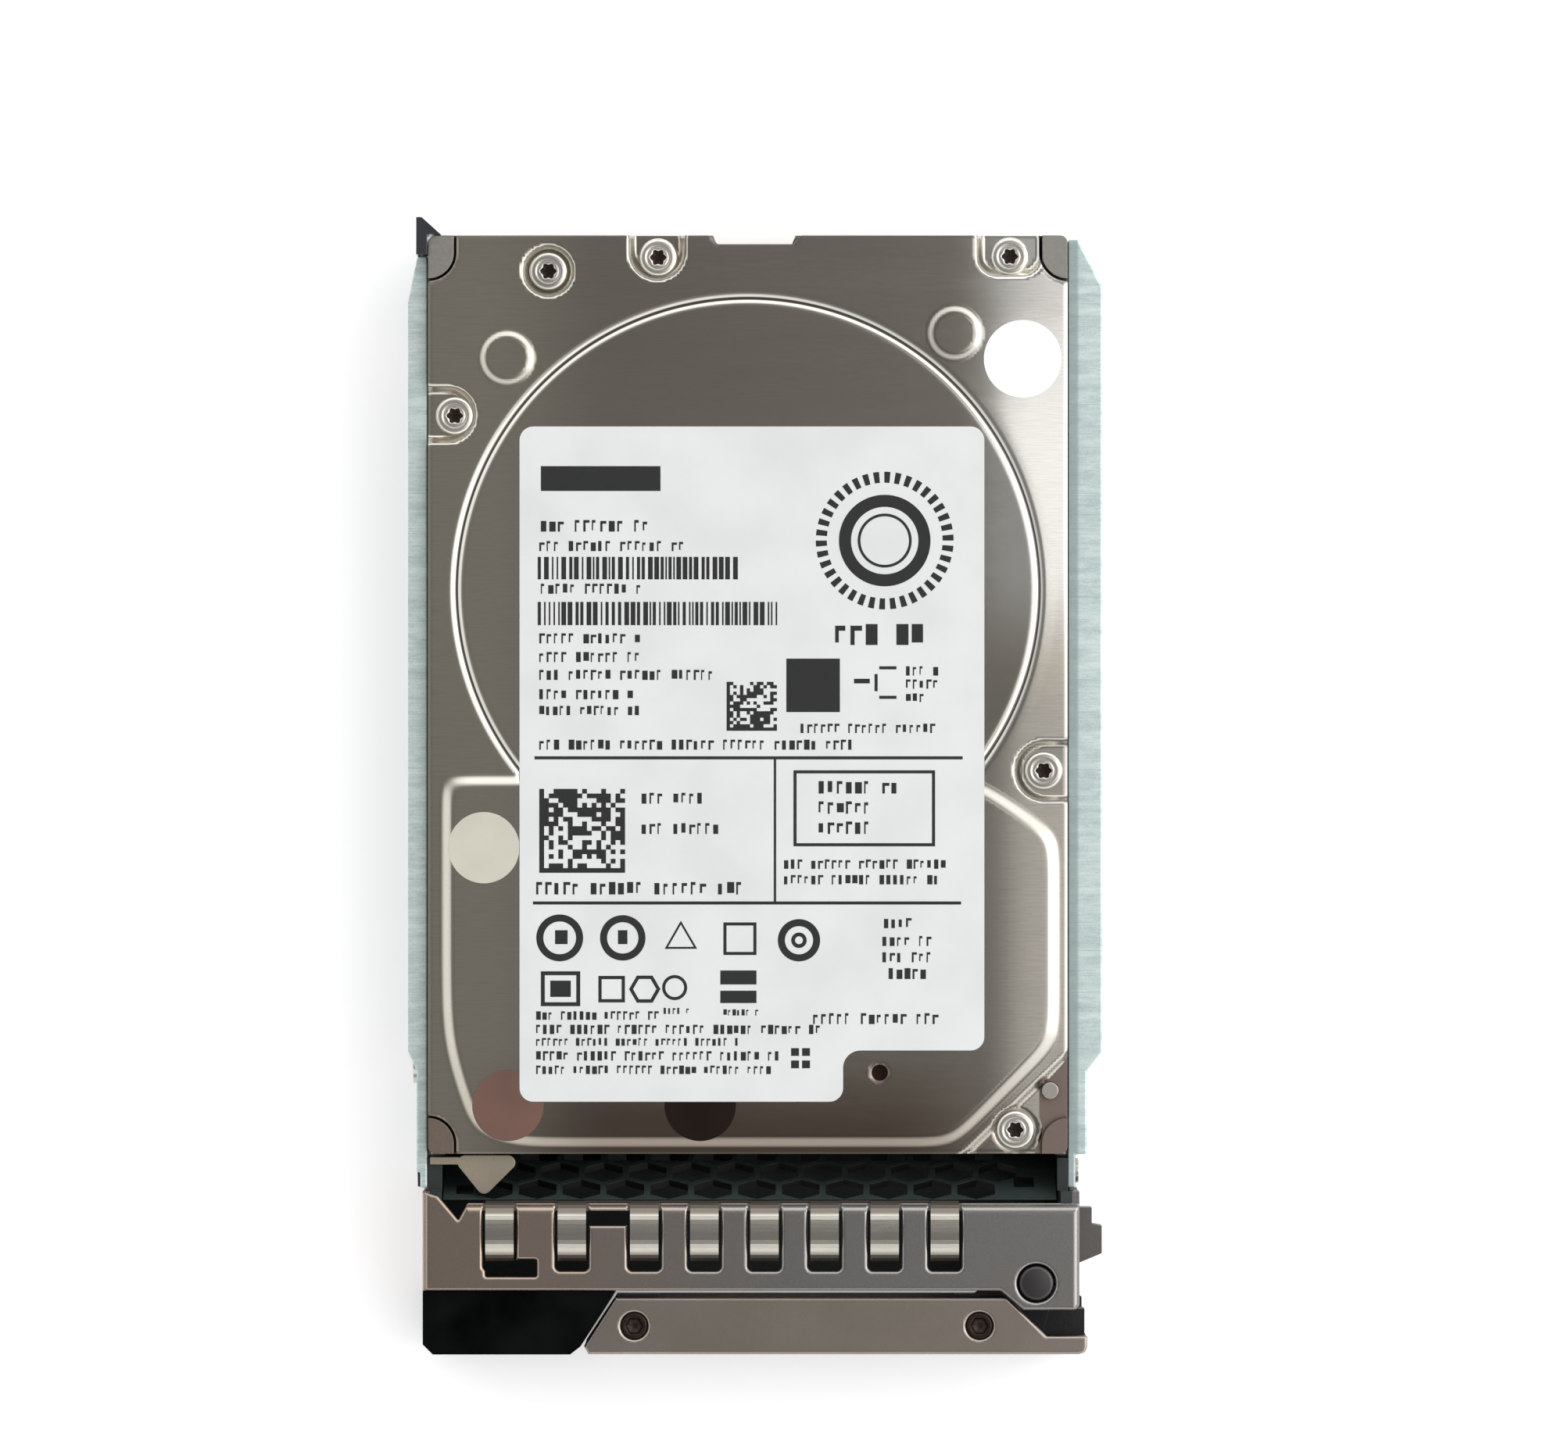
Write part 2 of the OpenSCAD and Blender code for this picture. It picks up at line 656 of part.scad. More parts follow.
module pivot_bearing() color("#c5c6c8") placed() at_pivot()
    tube(shaft_r + run_gap, bearing_r, arm_block_z, arm_top_z);

module pivot_post() color("#dcdddf") placed() at_pivot()
    translate([0, 0, floor_z + 0.2]) cylinder(r = shaft_r, h = rim_z - floor_z - 0.2);

magnet_z0 = coil_z - coil_gap - magnet_t;
magnet_z1 = coil_z + coil_t + coil_gap;
post_angles = [yoke_from + 6.5, yoke_to - 5.5];

module yoke_outline() {
    difference() {
        sector(yoke_r0, yoke_r1, yoke_from, yoke_to);
        for (a = post_angles) rotate(a) translate([13, 0]) circle(0.8);
    }
}

module lower_yoke() color("#9da0a3") placed() at_pivot() slab(cavity_z, magnet_z0) yoke_outline();

module upper_yoke() color("#9da0a3") placed() at_pivot()
    slab(magnet_z1 + magnet_t, magnet_z1 + magnet_t + yoke_t) yoke_outline();

module coil_magnets() color("#74777a") placed() at_pivot() {
    for (z = [magnet_z0, magnet_z1])
        slab(z, z + magnet_t) sector(coil_r0 - 0.4, coil_r1 + 0.4, yoke_from + 14, yoke_to - 13);
}

// Two stepped posts hold the yokes apart and stop the arm at its ends
module yoke_posts() color("#c9cacb") placed() at_pivot() {
    for (a = post_angles) rotate(a) translate([13, 0, 0]) {
        translate([0, 0, magnet_z0]) cylinder(r = 1.2, h = magnet_z1 + magnet_t - magnet_z0);
        translate([0, 0, cavity_z]) cylinder(r = 0.75, h = magnet_z1 + magnet_t + yoke_t - cavity_z);
    }
}

// Comb on which the heads park, just past the ends of the suspensions
module parking_ramp() color("#d9d4c3") placed() at_pivot()
    slab(cavity_z, arm_top_z)
        sector(head_reach + ramp_r0, head_reach + ramp_r1, arm_dir - ramp_from, arm_dir + ramp_to);

module flex_cable() color("#b7772e") placed() at_pivot()
    translate([-11, -3, 0]) slab(cavity_z + 1.5, cavity_z + 6) sector(7.6, 7.8, -95, -8);

module flex_bracket() color("#303236") placed() at_pivot()
    box(-15.5, -13.6, cavity_z, -11.2, -10.8, cavity_z + 6.5);

module recirculation_filter() color("#eeeeea") placed()
    box(pocket_x0 + 0.3, pivot_y - 8, cavity_z, pocket_x0 + 2.3, pivot_y + 2, rim_z - 0.8);

// Circuit board in the recess of the underside, chips towards the casting
board_z = base_z + 0.8;
board_t = 0.8;
board_half_w = 28;
board_front_y = disc_y - 42;
board_rear_y = rear_y - 5;
board_post_r = 2;
board_shank_r = 0.8;
board_head_r = 1.7;
board_screw_top = floor_z + 0.5;
board_screw_spots = [for (x = [-1, 1], y = [board_front_y + 3, disc_y - 8, board_rear_y - 4])
    [x * (board_half_w - 2.6), y]];
chip_h = 0.8;

module board_outline(grow = 0) {
    translate([-board_half_w - grow, board_front_y - grow])
        square([2 * (board_half_w + grow), board_rear_y - board_front_y + grow]);
}

module circuit_board() color("#1f5a3d") placed() slab(board_z, board_z + board_t) difference() {
    board_outline();
    for (spot = board_screw_spots) translate(spot) circle(board_shank_r + 0.1);
}

module chip(x, y, w, l, h = chip_h) {
    box(x - w / 2, y - l / 2, board_z + board_t, x + w / 2, y + l / 2, board_z + board_t + h);
}

module board_chips() color("#1b1c1f") placed() {
    chip(-8, disc_y - 4, 13, 13);
    chip(9, disc_y + 2, 8, 11);
    chip(8, disc_y - 16, 8, 8);
    chip(-10, disc_y - 20, 6, 5);
    chip(15, disc_y + 18, 5, 6);
    chip(-14, disc_y + 16, 7, 3);
    for (i = [0 : 7]) {
        chip(-20, disc_y - 16 + 3 * i, 1, 1.8, 0.6);
        chip(20, disc_y - 16 + 3 * i, 1.8, 1, 0.6);
    }
}

module board_insulator() color("#3a3b40") placed()
    box(-21.5, disc_y - 24, board_z + board_t + chip_h + fit, 21.5, disc_y + 24, floor_z - fit);

module board_screws() color("#b9babc") placed() {
    for (spot = board_screw_spots) translate([spot[0], spot[1], board_z]) mirror([0, 0, 1])
        screw(board_head_r, 0.65, board_shank_r, board_screw_top - board_z);
}

// Plug for the backplane: a block with two guide ends and a thin tongue
connector_w = 42;
connector_x0 = -4.8 - connector_w / 2;
connector_x1 = connector_x0 + connector_w;
connector_z0 = base_z + 0.2;
connector_z1 = base_z + 5.1;
tongue_z = base_z + 2.2;
contact_pitch = 1.27;
contacts = 28;
contact_gap = 7;

module rear_connector() color("#1a1b1e") placed() {
    box(connector_x0, board_rear_y, connector_z0, connector_x1, board_rear_y + 1.6, connector_z1);
    for (x = [connector_x0, connector_x1 - 1.8])
        box(x, board_rear_y, connector_z0, x + 1.8, rear_y - 1.1, connector_z1);
    box(connector_x0 + 2.8, board_rear_y, tongue_z, connector_x1 - 2.8, rear_y - 1.2, tongue_z + 1.2);
}

module connector_contacts() color("#cda24a") placed() {
    for (i = [0 : contacts - 1])
        if (i != contact_gap) translate([connector_x0 + 3.6 + i * contact_pitch, 0, 0])
            box(-0.4, board_rear_y + 1.6, tongue_z - 0.1, 0.4, rear_y - 1.5, tongue_z);
}

// Rail: a web against the drive's side, and two lips that slide in the bay
module rail(side, w, y_rear, y_lip) {
    mirror([side < 0 ? 1 : 0, 0, 0]) difference() {
        union() {
            box(web_x, rail_end_y, 0, web_x + rail_t, y_rear, rail_h);
            for (z = [0, rail_h - rail_t]) slab(z, z + rail_t)
                polygon([[web_x, y_lip], [web_x, y_rear], [web_x + rail_neck_w, y_rear],
                    [web_x + w, y_rear - rail_slant_l], [web_x + w, front_y + 11.2],
                    [web_x + w * 0.55, front_y + 9], [web_x + w * 0.55, y_lip]]);
        }
        for (y = mount_ys) translate([0, y, base_z + side_hole_h])
            rotate([0, 90, 0]) cylinder(r = 1.6, h = far);
        for (z = rivet_zs) translate([0, rivet_y, z]) rotate([0, 90, 0]) cylinder(r = 1.02, h = far);
    }
}

rail_left_y = rear_y - 2.2;
rail_slant_l = 5.2;
rail_neck_w = 1.1;
pipe_x0 = -web_x - rail_left_w + 0.2;
rivet_y = front_y - 2.2;
rivet_zs = [2.6, 6.2];
rivet_head_r = 1.3;

module left_rail() color("#a9b8b6") placed() rail(-1, rail_left_w, rail_left_y, front_y - 2.1);

module right_rail() color("#b9c8c6") placed() rail(1, rail_right_w, rear_y - 0.4, front_y - 0.1);

module rail_screws() color("#c9c8c4") placed() {
    for (side = [-1, 1], y = mount_ys)
        translate([side * (web_x + rail_t), y, base_z + side_hole_h]) rotate([0, side * 90, 0])
            screw(2.4, 1, mount_hole_r - 0.05, rail_t + rail_gap + side_hole_depth - 0.2);
}

module rail_rivets() color("#bfc2c2") placed() {
    for (side = [-1, 1], z = rivet_zs)
        translate([side * (web_x + rail_t), rivet_y, z]) rotate([0, side * 90, 0]) {
            cylinder(r = rivet_head_r, h = 0.5);
            translate([0, 0, -rail_t - 1.1]) cylinder(r = 1, h = rail_t + 1.1);
        }
}

// Light pipe in the left rail, with the tip that looks back past the drive's corner
module light_pipe() color("#34373a") placed() {
    slab(8, 10) polygon([[-web_x - rail_left_w * 0.55, rail_end_y], [-web_x - rail_t - fit, rail_end_y],
        [-web_x - rail_t - fit, rear_y - 1.8], [-web_x - rail_neck_w, rear_y - 1.8],
        [pipe_x0, rail_left_y - rail_slant_l - 0.5], [pipe_x0, front_y + 11.4],
        [-web_x - rail_left_w * 0.55, front_y + 9.2]]);
    slab(7, lid_z) polygon([[-web_x - rail_t - 0.4, rear_y - 2.1], [-web_x, rear_y - 2.1],
        [-web_x, rear_y + 0.1], [-web_x + 1.5, rear_y + 0.1], [-web_x - 0.6, tip_y],
        [-web_x - rail_t - 0.4, tip_y]]);
}

// Front frame: a floor and side walls that tie the rails to the shell
module front_frame() placed() color("#1d2422") difference() {
    union() {
        box(-web_x + fit, ear_y, 0, web_x - fit, front_y - 0.5, frame_floor_t);
        box(frame_x0, shell_front_y, 0, frame_x1, ear_y, frame_floor_t);
        slab(0, frame_floor_t) {
            translate([pivot_hx, pivot_hy]) circle(3.6);
            translate([pivot_hx - 3.6, pivot_hy]) square([7.2, 2]);
            polygon([[pivot_hx - 3.6, pivot_hy], [pivot_hx - 3.6, notch_y + 0.1], [bar_x1 - 0.3, notch_y + 0.1],
                [bar_x1 - 0.3, pivot_hy - 2.2], [pivot_hx + 3.6, pivot_hy - 0.9], [pivot_hx + 3.6, pivot_hy]]);
        }
        box(frame_x0, shell_front_y, 0, frame_x0 + frame_wall_t, ear_y, shell_z);
        box(frame_x1 - frame_wall_t, shell_front_y, 0, frame_x1, ear_y, shell_z);
        box(-web_x + fit, ear_y, 0, -web_x + 1.6, front_y - 0.5, rail_h);
        box(web_x - 1.2, ear_y, 0, web_x - fit, front_y - 0.5, rail_h);
    }
    box(pivot_hx, shell_front_y - 5, hub_z0 - clear, far, ear_y, hub_z1 + clear);
    translate([pivot_hx, pivot_hy, -1]) cylinder(r = pivot_shank_r + 0.02, h = far);
    for (side = [-1, 1], z = rivet_zs)
        translate([0, rivet_y, z]) rotate([0, side * 90, 0]) cylinder(r = 1.02, h = far);
}

grille_t = 0.8;
grille_top_z = shell_z - 1.2;
grille_foot_y = front_y - 0.4;
grille_run = shell_gap - 0.6;
grille_rise = grille_top_z - grille_foot_z;
grille_lean = atan(grille_run / grille_rise);
grille_hole_r = (grille_pitch - grille_web) / sqrt(3);
grille_row = grille_pitch * sqrt(3) / 2;
grille_row0 = 0.2;
grille_x0 = -web_x + 1.7;
grille_x1 = web_x - 1.3;
grille_hole_x0 = grille_x0 + 5.5;
grille_columns = floor((grille_x1 - grille_x0 - 12.5) / grille_pitch);

// Vent grille: an upright foot, and a leaning plate with staggered six-sided holes
module vent_grille() placed() color("#26302e") difference() {
    intersection() {
        union() {
            translate([0, grille_foot_y, grille_foot_z]) rotate([grille_lean, 0, 0])
                box(grille_x0, -grille_t, -1, grille_x1, 0, 2 * grille_rise);
            box(grille_x0, grille_foot_y - grille_t, 0, grille_x1, grille_foot_y, grille_foot_z);
        }
        box(grille_x0, shell_rear_y + finger_t + 0.1, frame_floor_t, grille_x1, front_y, grille_top_z);
    }
    translate([0, grille_foot_y, grille_foot_z]) rotate([grille_lean, 0, 0]) {
        box(grille_x0 + 1.4, -1, 7.4, grille_x0 + 3.3, 1, 9.6);
        box(grille_x1 - 4.6, -1, 5.4, grille_x1 - 2.4, 1, 8);
    }
    translate([0, grille_foot_y, grille_foot_z]) rotate([grille_lean, 0, 0])
        for (row = [0 : 2], i = [0 : grille_columns])
            translate([grille_hole_x0 + grille_pitch * (i + (row % 2) / 2), 0, grille_row0 + grille_row * row])
                rotate([90, 30, 0]) cylinder(r = grille_hole_r, h = 10, center = true, $fn = 6);
}

// Sheet tongue from the left ear of the frame, with a rounded three-cornered tip
tongue_y = front_y - 0.2;
tongue_xs = [-web_x + 4.1, -web_x + 8.8, -web_x + 6.2];
tongue_l = 3.4;
tongue_r = 0.8;

module grille_tongue() placed() color("#b3a995") slab(rail_h, rail_h + 0.6) {
    hull() {
        for (i = [0, 1]) translate([tongue_xs[i], tongue_y - tongue_r]) circle(tongue_r);
        translate([tongue_xs[2], tongue_y - tongue_l]) circle(tongue_r);
    }
    translate([-web_x + 0.3, tongue_y - 1]) square([tongue_xs[0] + web_x, 0.8]);
}

finger_x1 = shell_x1 - 14.7;
finger_xs = concat([for (i = [0 : 5]) finger_x1 - i * finger_pitch],
    [for (i = [1 : 2]) finger_x1 - 5 * finger_pitch - i * finger_wide_pitch]);
window_w = finger_w + 0.6;
window_l = 7.4;
window_chamfer = 0.5;

module window_outlines() {
    for (x = finger_xs) translate([x, shell_rear_y])
        polygon([[-window_w / 2, 0.5], [window_w / 2, 0.5], [window_w / 2, window_chamfer - window_l],
            [window_w / 2 - window_chamfer, -window_l], [window_chamfer - window_w / 2, -window_l],
            [-window_w / 2, window_chamfer - window_l]]);
    translate([finger_xs[6] + window_w / 2 - 0.1, shell_rear_y - 2.4])
        square([finger_wide_pitch - window_w + 0.2, 1.6]);
    translate([finger_xs[7] - window_w / 2 + 0.3, shell_rear_y - window_l - 0.6]) square([5.6, 1.9]);
}

// Front shell: one sheet folded down at the sides and along its rear edge
module front_shell() placed() color("#857c75") difference() {
    union() {
        slab(shell_z, shell_h) polygon([[shell_x0, ear_y], [shell_x0 + 1.7, ear_y - 0.5],
            [shell_x0 + 3.9, ear_y - 3.1], [shell_x0 + 4.9, shell_rear_y], [shell_x1, shell_rear_y],
            [shell_x1, shell_front_y - pivot_corner_l], [pivot_hx - 1.4, shell_front_y - pivot_corner_l],
            [pivot_hx - 3.9, shell_front_y], [shell_x0, shell_front_y]]);
        box(shell_x0, shell_front_y, 0.4, shell_x0 + shell_t, ear_y, shell_z);
        box(shell_x1 - shell_t, shell_front_y, 0.4, shell_x1, ear_y, shell_z);
        box(shell_x0 + 4.9, shell_rear_y - shell_t, shell_z - 2.6,
            frame_x1 - frame_wall_t - 0.1, shell_rear_y, shell_z);
    }
    slab(shell_z - 1.2, far) window_outlines();
    box(pivot_hx, shell_front_y - 1, hook_z0 - 0.6, far, ear_y + 1, hook_z1 + 0.6);
    translate([pivot_hx, pivot_hy, shell_z - 1]) cylinder(r = pivot_head_r + 0.02, h = far);
}

finger_arc_r = 4.5;
finger_top_z = shell_h + 0.6;
finger_mid_y = shell_rear_y - 3.05;

// Contact fingers: arched strips that rise through the shell's windows
module contact_fingers() placed() color("#aaa59a") {
    box(min(finger_xs) - finger_w / 2, shell_rear_y + 0.03, shell_z - 2.2,
        max(finger_xs) + finger_w / 2, shell_rear_y + 0.03 + finger_t, shell_z - 1);
    for (x = finger_xs) {
        box(x - finger_w / 2, shell_rear_y + 0.03, shell_z - 2.2,
            x + finger_w / 2, shell_rear_y + 0.03 + finger_t, shell_z + 0.15);
        translate([x - finger_w / 2, finger_mid_y, finger_top_z - finger_arc_r]) rotate([90, 0, 90])
            linear_extrude(finger_w) sector(finger_arc_r - finger_t, finger_arc_r, 44.4, 136);
    }
}

module pivot_rivet() placed() color("#7d7678") translate([pivot_hx, pivot_hy, 0]) {
    translate([0, 0, shell_z]) cylinder(r = pivot_head_r, h = shell_t);
    translate([0, 0, 0.1]) cylinder(r = pivot_shank_r, h = shell_z - 0.1);
}

// Outline of the handle bar from above, slanted at the latch and at the pivot
module bar_outline(inset = 0) {
    polygon([[latch_x1 + bar_lean + inset, bar_y1 - inset], [pivot_hx - 3.2 - inset, bar_y1 - inset],
        [pivot_hx + 1.1 - inset, notch_y - inset], [bar_x1 - inset, notch_y - inset],
        [bar_x1 - inset, bar_y0 + 0.9 + inset], [bar_x1 - 0.9 - inset, bar_y0 + inset],
        [latch_x1 + 0.5 + inset, bar_y0 + inset], [latch_x1 + inset, bar_y0 + 0.9 + inset]]);
}

handle_wall = 1.3;
horn_y = pivot_hy - 3.1;
strip_screw_xs = [latch_x1 + 5.5, pivot_hx - 6.2];
strip_screw_y = bar_y0 + 3.1;
handle_room_x0 = strip_screw_xs[0] + 2.6;
handle_room_x1 = strip_screw_xs[1] - 2.6;

// Handle: a bar hollow from behind, a hub under the shell, and the hook
module handle_lever() placed() color("#55524f") difference() {
    union() {
        slab(handle_z0, handle_z1) bar_outline(0.1);
        translate([pivot_hx, pivot_hy, 0]) slab(hub_z0, hub_z1) {
            circle(3.4);
            polygon([[-3.3, 0.6], [1.6, -2.6], [0.8, -6], [-7, -4], [-7, bar_y1 - pivot_hy - 0.2]]);
        }
        translate([pivot_hx, pivot_hy, 0]) slab(hook_z0, hook_z1)
            polygon([[-1.5, 2.8], [1.6, 7.2], [3, 8], [6.2, 8], [6.2, 6.2],
                [pivot_from_side + hook_reach, 6], [pivot_from_side + hook_reach, 3], [3, 1.2]]);
        slab(hook_z0, hook_z1) polygon([[pivot_hx - 1.4, horn_y], [bar_x1 - 0.2, horn_y],
            [bar_x1 - 0.2, notch_y - 0.4], [pivot_hx - 1.4, notch_y - 0.4]]);
    }
    box(handle_room_x0, bar_y0 + handle_wall, handle_z0 + handle_wall,
        handle_room_x1, bar_y1 + 1, handle_z1 - handle_wall);
    for (row = [0 : 2], i = [0 : floor((handle_room_x1 - handle_room_x0 - 5) / grille_pitch)])
        translate([handle_room_x0 + 2.5 + grille_pitch * (i + (row % 2) / 2), bar_y0, handle_z0 + 3.3 + grille_row * row])
            rotate([90, 30, 0]) cylinder(r = grille_hole_r, h = 2.2 * handle_wall, center = true, $fn = 6);
    translate([pivot_hx, pivot_hy, 0]) cylinder(r = pivot_shank_r + run_gap, h = far);
    for (x = strip_screw_xs)
        translate([x, strip_screw_y, handle_z1 - 5]) cylinder(r = 0.85, h = far);
}

module handle_strip() placed() color("#9a9088") difference() {
    slab(strip_z, strip_z + strip_t) bar_outline();
    for (x = strip_screw_xs) translate([x, strip_screw_y, 0]) cylinder(r = 1.55, h = far);
}

module strip_screws() placed() color("#3b3431") {
    for (x = strip_screw_xs) translate([x, strip_screw_y, strip_z]) screw(1.5, 0.45, 0.8, 4.5);
}

module handle_spring() placed() color("#a9abad") translate([pivot_hx, pivot_hy, 0])
    coil_spring(2.2, 0.5, hub_z1 + 0.6, shell_z - 0.6, 4);

button_x0 = shell_x0 + 3.2;
button_x1 = latch_x1 - 3.4;
button_z0 = 3;
button_z1 = 13.6;
button_room_l = 5;
button_l = 2.6;
light_x = shell_x0 + 1.7;
light_zs = [5.5, 10.5];

// Black end of the front with the room for the release button
module latch_end() placed() color("#0b0b0c") difference() {
    slab(0, shell_z + 0.3) polygon([[shell_x0, shell_front_y - fit],
        [latch_x1 + bar_lean + 0.1, shell_front_y - fit], [latch_x1 + bar_lean - 0.35, bar_y1],
        [latch_x1 - 0.35, bar_y0 + 0.9], [latch_x1 - 1.5, bar_y0], [shell_x0 + 1.1, bar_y0],
        [shell_x0, bar_y0 + 1.1]]);
    box(button_x0, bar_y0 - 1, button_z0, button_x1, bar_y0 + button_room_l, button_z1);
    for (z = light_zs) translate([light_x, bar_y0 - 1, z]) rotate([-90, 0, 0]) cylinder(r = 0.82, h = 4);
}

module release_button() placed() color("#1c1c1f")
    box(button_x0 + 0.25, bar_y0 - 0.1, button_z0 + 0.25, button_x1 - 0.25, bar_y0 + button_l, button_z1 - 0.25);

module button_spring() placed() color("#a9abad")
    translate([(button_x0 + button_x1) / 2, bar_y0, (button_z0 + button_z1) / 2]) rotate([-90, 0, 0])
        coil_spring(2, 0.4, button_l + 0.25, button_room_l - 0.25, 3);

module status_windows() placed() color("#cfd8c8") {
    for (z = light_zs) translate([light_x, bar_y0 + 0.05, z]) rotate([-90, 0, 0]) cylinder(r = 0.8, h = 2.9);
}

base_casting();
top_cover();
cover_gasket();
cover_screws();
locating_pin();
label();
white_seals();
red_seal();
dark_seal();
breather_filter();
discs();
disc_spacers();
spindle_hub();
disc_clamp();
clamp_screws();
rotor_magnet();
stator_core();
stator_windings();
spindle_shaft();
arm_block();
head_suspensions();
head_sliders();
voice_coil();
pivot_bearing();
pivot_post();
lower_yoke();
upper_yoke();
coil_magnets();
yoke_posts();
parking_ramp();
flex_cable();
flex_bracket();
recirculation_filter();
circuit_board();
board_chips();
board_insulator();
rear_connector();
connector_contacts();
board_screws();
left_rail();
right_rail();
rail_screws();
rail_rivets();
light_pipe();
front_frame();
vent_grille();
grille_tongue();
front_shell();
contact_fingers();
pivot_rivet();
handle_lever();
handle_strip();
strip_screws();
handle_spring();
latch_end();
release_button();
button_spring();
status_windows();
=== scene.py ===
# %% [markdown]
# # A hard disk drive in its slide-in carrier
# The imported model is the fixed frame: every node is already in its place, in metres, with the
# origin under the middle of the object. This lesson dresses it. Where a node's shape is right it
# only gets a finish; where thin stamped metal or print needs a finer surface, a new piece stands
# for the node.

# %% Load the frame
import bpy, json, math
import numpy as np
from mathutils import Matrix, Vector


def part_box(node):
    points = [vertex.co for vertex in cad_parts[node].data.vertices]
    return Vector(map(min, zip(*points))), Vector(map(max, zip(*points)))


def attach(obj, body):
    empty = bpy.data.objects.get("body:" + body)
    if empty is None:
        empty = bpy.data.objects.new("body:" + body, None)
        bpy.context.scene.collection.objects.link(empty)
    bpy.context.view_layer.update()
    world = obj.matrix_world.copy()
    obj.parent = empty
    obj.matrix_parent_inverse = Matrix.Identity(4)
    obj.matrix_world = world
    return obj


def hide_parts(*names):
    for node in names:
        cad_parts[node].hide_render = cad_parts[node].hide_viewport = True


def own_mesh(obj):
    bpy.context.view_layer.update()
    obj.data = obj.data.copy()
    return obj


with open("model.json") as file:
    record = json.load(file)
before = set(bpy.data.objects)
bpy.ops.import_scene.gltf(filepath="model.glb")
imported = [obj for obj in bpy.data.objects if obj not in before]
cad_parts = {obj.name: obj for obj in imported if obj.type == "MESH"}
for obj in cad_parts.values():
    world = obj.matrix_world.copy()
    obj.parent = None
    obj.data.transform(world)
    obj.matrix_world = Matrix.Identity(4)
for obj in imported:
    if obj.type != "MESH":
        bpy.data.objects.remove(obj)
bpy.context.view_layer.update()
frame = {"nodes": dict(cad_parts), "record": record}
nodes = frame["nodes"]
MM = 0.001

# %% [markdown]
# Every place below is worked out from the boxes of the nodes. The drive's own centre is handy for
# the cover, the label and the screws, so it is found once, from the casting.

# %% The drive's centre and the levels of its top
casting_lo, casting_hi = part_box("base_casting")
cover_lo, cover_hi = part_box("top_cover")
centre_x = (casting_lo.x + casting_hi.x) / 2
centre_y = (casting_lo.y + casting_hi.y) / 2
drive_w = (casting_hi.x - casting_lo.x) / MM
drive_l = (casting_hi.y - casting_lo.y) / MM
lid_z = cover_hi.z / MM


def placed(points):
    """Points in millimetres from the drive's centre, moved to the frame and put in metres."""
    return np.asarray(points, float) * MM + np.array([centre_x, centre_y, 0])


print("drive", round(drive_w, 2), "x", round(drive_l, 2), "cover top", round(lid_z, 2))

# %% [markdown]
# A piece is made from arrays: points, faces, and if wanted one normal for each point. Smooth
# shading with worked-out normals lets a stamped step reflect like polished sheet.

# %% From arrays to a piece
def piece(name, points, faces, body="carrier", smooth=True, slot=None):
    """A mesh object at the origin, whose place is in its points (metres). It rides on a body, and
    its slot gives it its first finish."""
    mesh = bpy.data.meshes.new(name)
    mesh.from_pydata(np.asarray(points).tolist(), [], [list(f) for f in faces])
    mesh.polygons.foreach_set("use_smooth", [smooth] * len(mesh.polygons))
    mesh.update()
    made = bpy.data.objects.new(name, mesh)
    bpy.context.scene.collection.objects.link(made)
    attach(made, body)
    if slot:
        mesh.materials.append(finishes[slot].material)
    return made


def grid_faces(rows, cols, wrap_rows=False, wrap_cols=False):
    """Quads of a grid of rows x cols points, as an array of four corner numbers each."""
    i = np.arange(rows if wrap_rows else rows - 1)
    j = np.arange(cols if wrap_cols else cols - 1)
    i, j = np.meshgrid(i, j, indexing="ij")
    a, b = (i + 1) % rows, (j + 1) % cols
    return np.stack([i * cols + j, i * cols + b, a * cols + b, a * cols + j], -1).reshape(-1, 4)


def join(parts):
    """Several (points, faces) pairs as one pair."""
    points, faces, start = [], [], 0
    for p, f in parts:
        points.append(np.asarray(p, float))
        faces.extend((np.asarray(q) + start).tolist() for q in f)
        start += len(p)
    return np.concatenate(points), faces


# %% [markdown]
# Shader maths reads best as sums. A small class wraps a socket, so that `1 - mask * 0.3` adds the
# Math nodes itself. A second class holds one material and makes every other kind of node.

# %% A socket that can be added and multiplied
class Wire:
    """One output socket; + - * / and ** on it add Math nodes."""

    def __init__(self, tree, socket):
        self.tree, self.socket = tree, socket

    def math(self, operation, *values):
        node = self.tree.nodes.new("ShaderNodeMath")
        node.operation = operation
        for socket, value in zip(node.inputs, values):
            put(self.tree, socket, value)
        return Wire(self.tree, node.outputs[0])

    def __add__(self, other): return self.math("ADD", self, other)
    def __radd__(self, other): return self.math("ADD", other, self)
    def __sub__(self, other): return self.math("SUBTRACT", self, other)
    def __rsub__(self, other): return self.math("SUBTRACT", other, self)
    def __mul__(self, other): return self.math("MULTIPLY", self, other)
    def __rmul__(self, other): return self.math("MULTIPLY", other, self)
    def __truediv__(self, other): return self.math("DIVIDE", self, other)
    def __pow__(self, other): return self.math("POWER", self, other)
    def size(self): return self.math("ABSOLUTE", self)
    def least(self, other): return self.math("MINIMUM", self, other)
    def most(self, other): return self.math("MAXIMUM", self, other)


def put(tree, socket, value):
    """Links a Wire to a socket, or sets the socket's own value."""
    if isinstance(value, Wire):
        tree.links.new(value.socket, socket)
    else:
        socket.default_value = value


def linear(colour):
    """A colour such as '7f786c' as linear red, green, blue and 1."""
    parts = [int(colour[i:i + 2], 16) / 255 for i in (0, 2, 4)]
    return (*[c / 12.92 if c <= 0.04045 else ((c + 0.055) / 1.055) ** 2.4 for c in parts], 1)


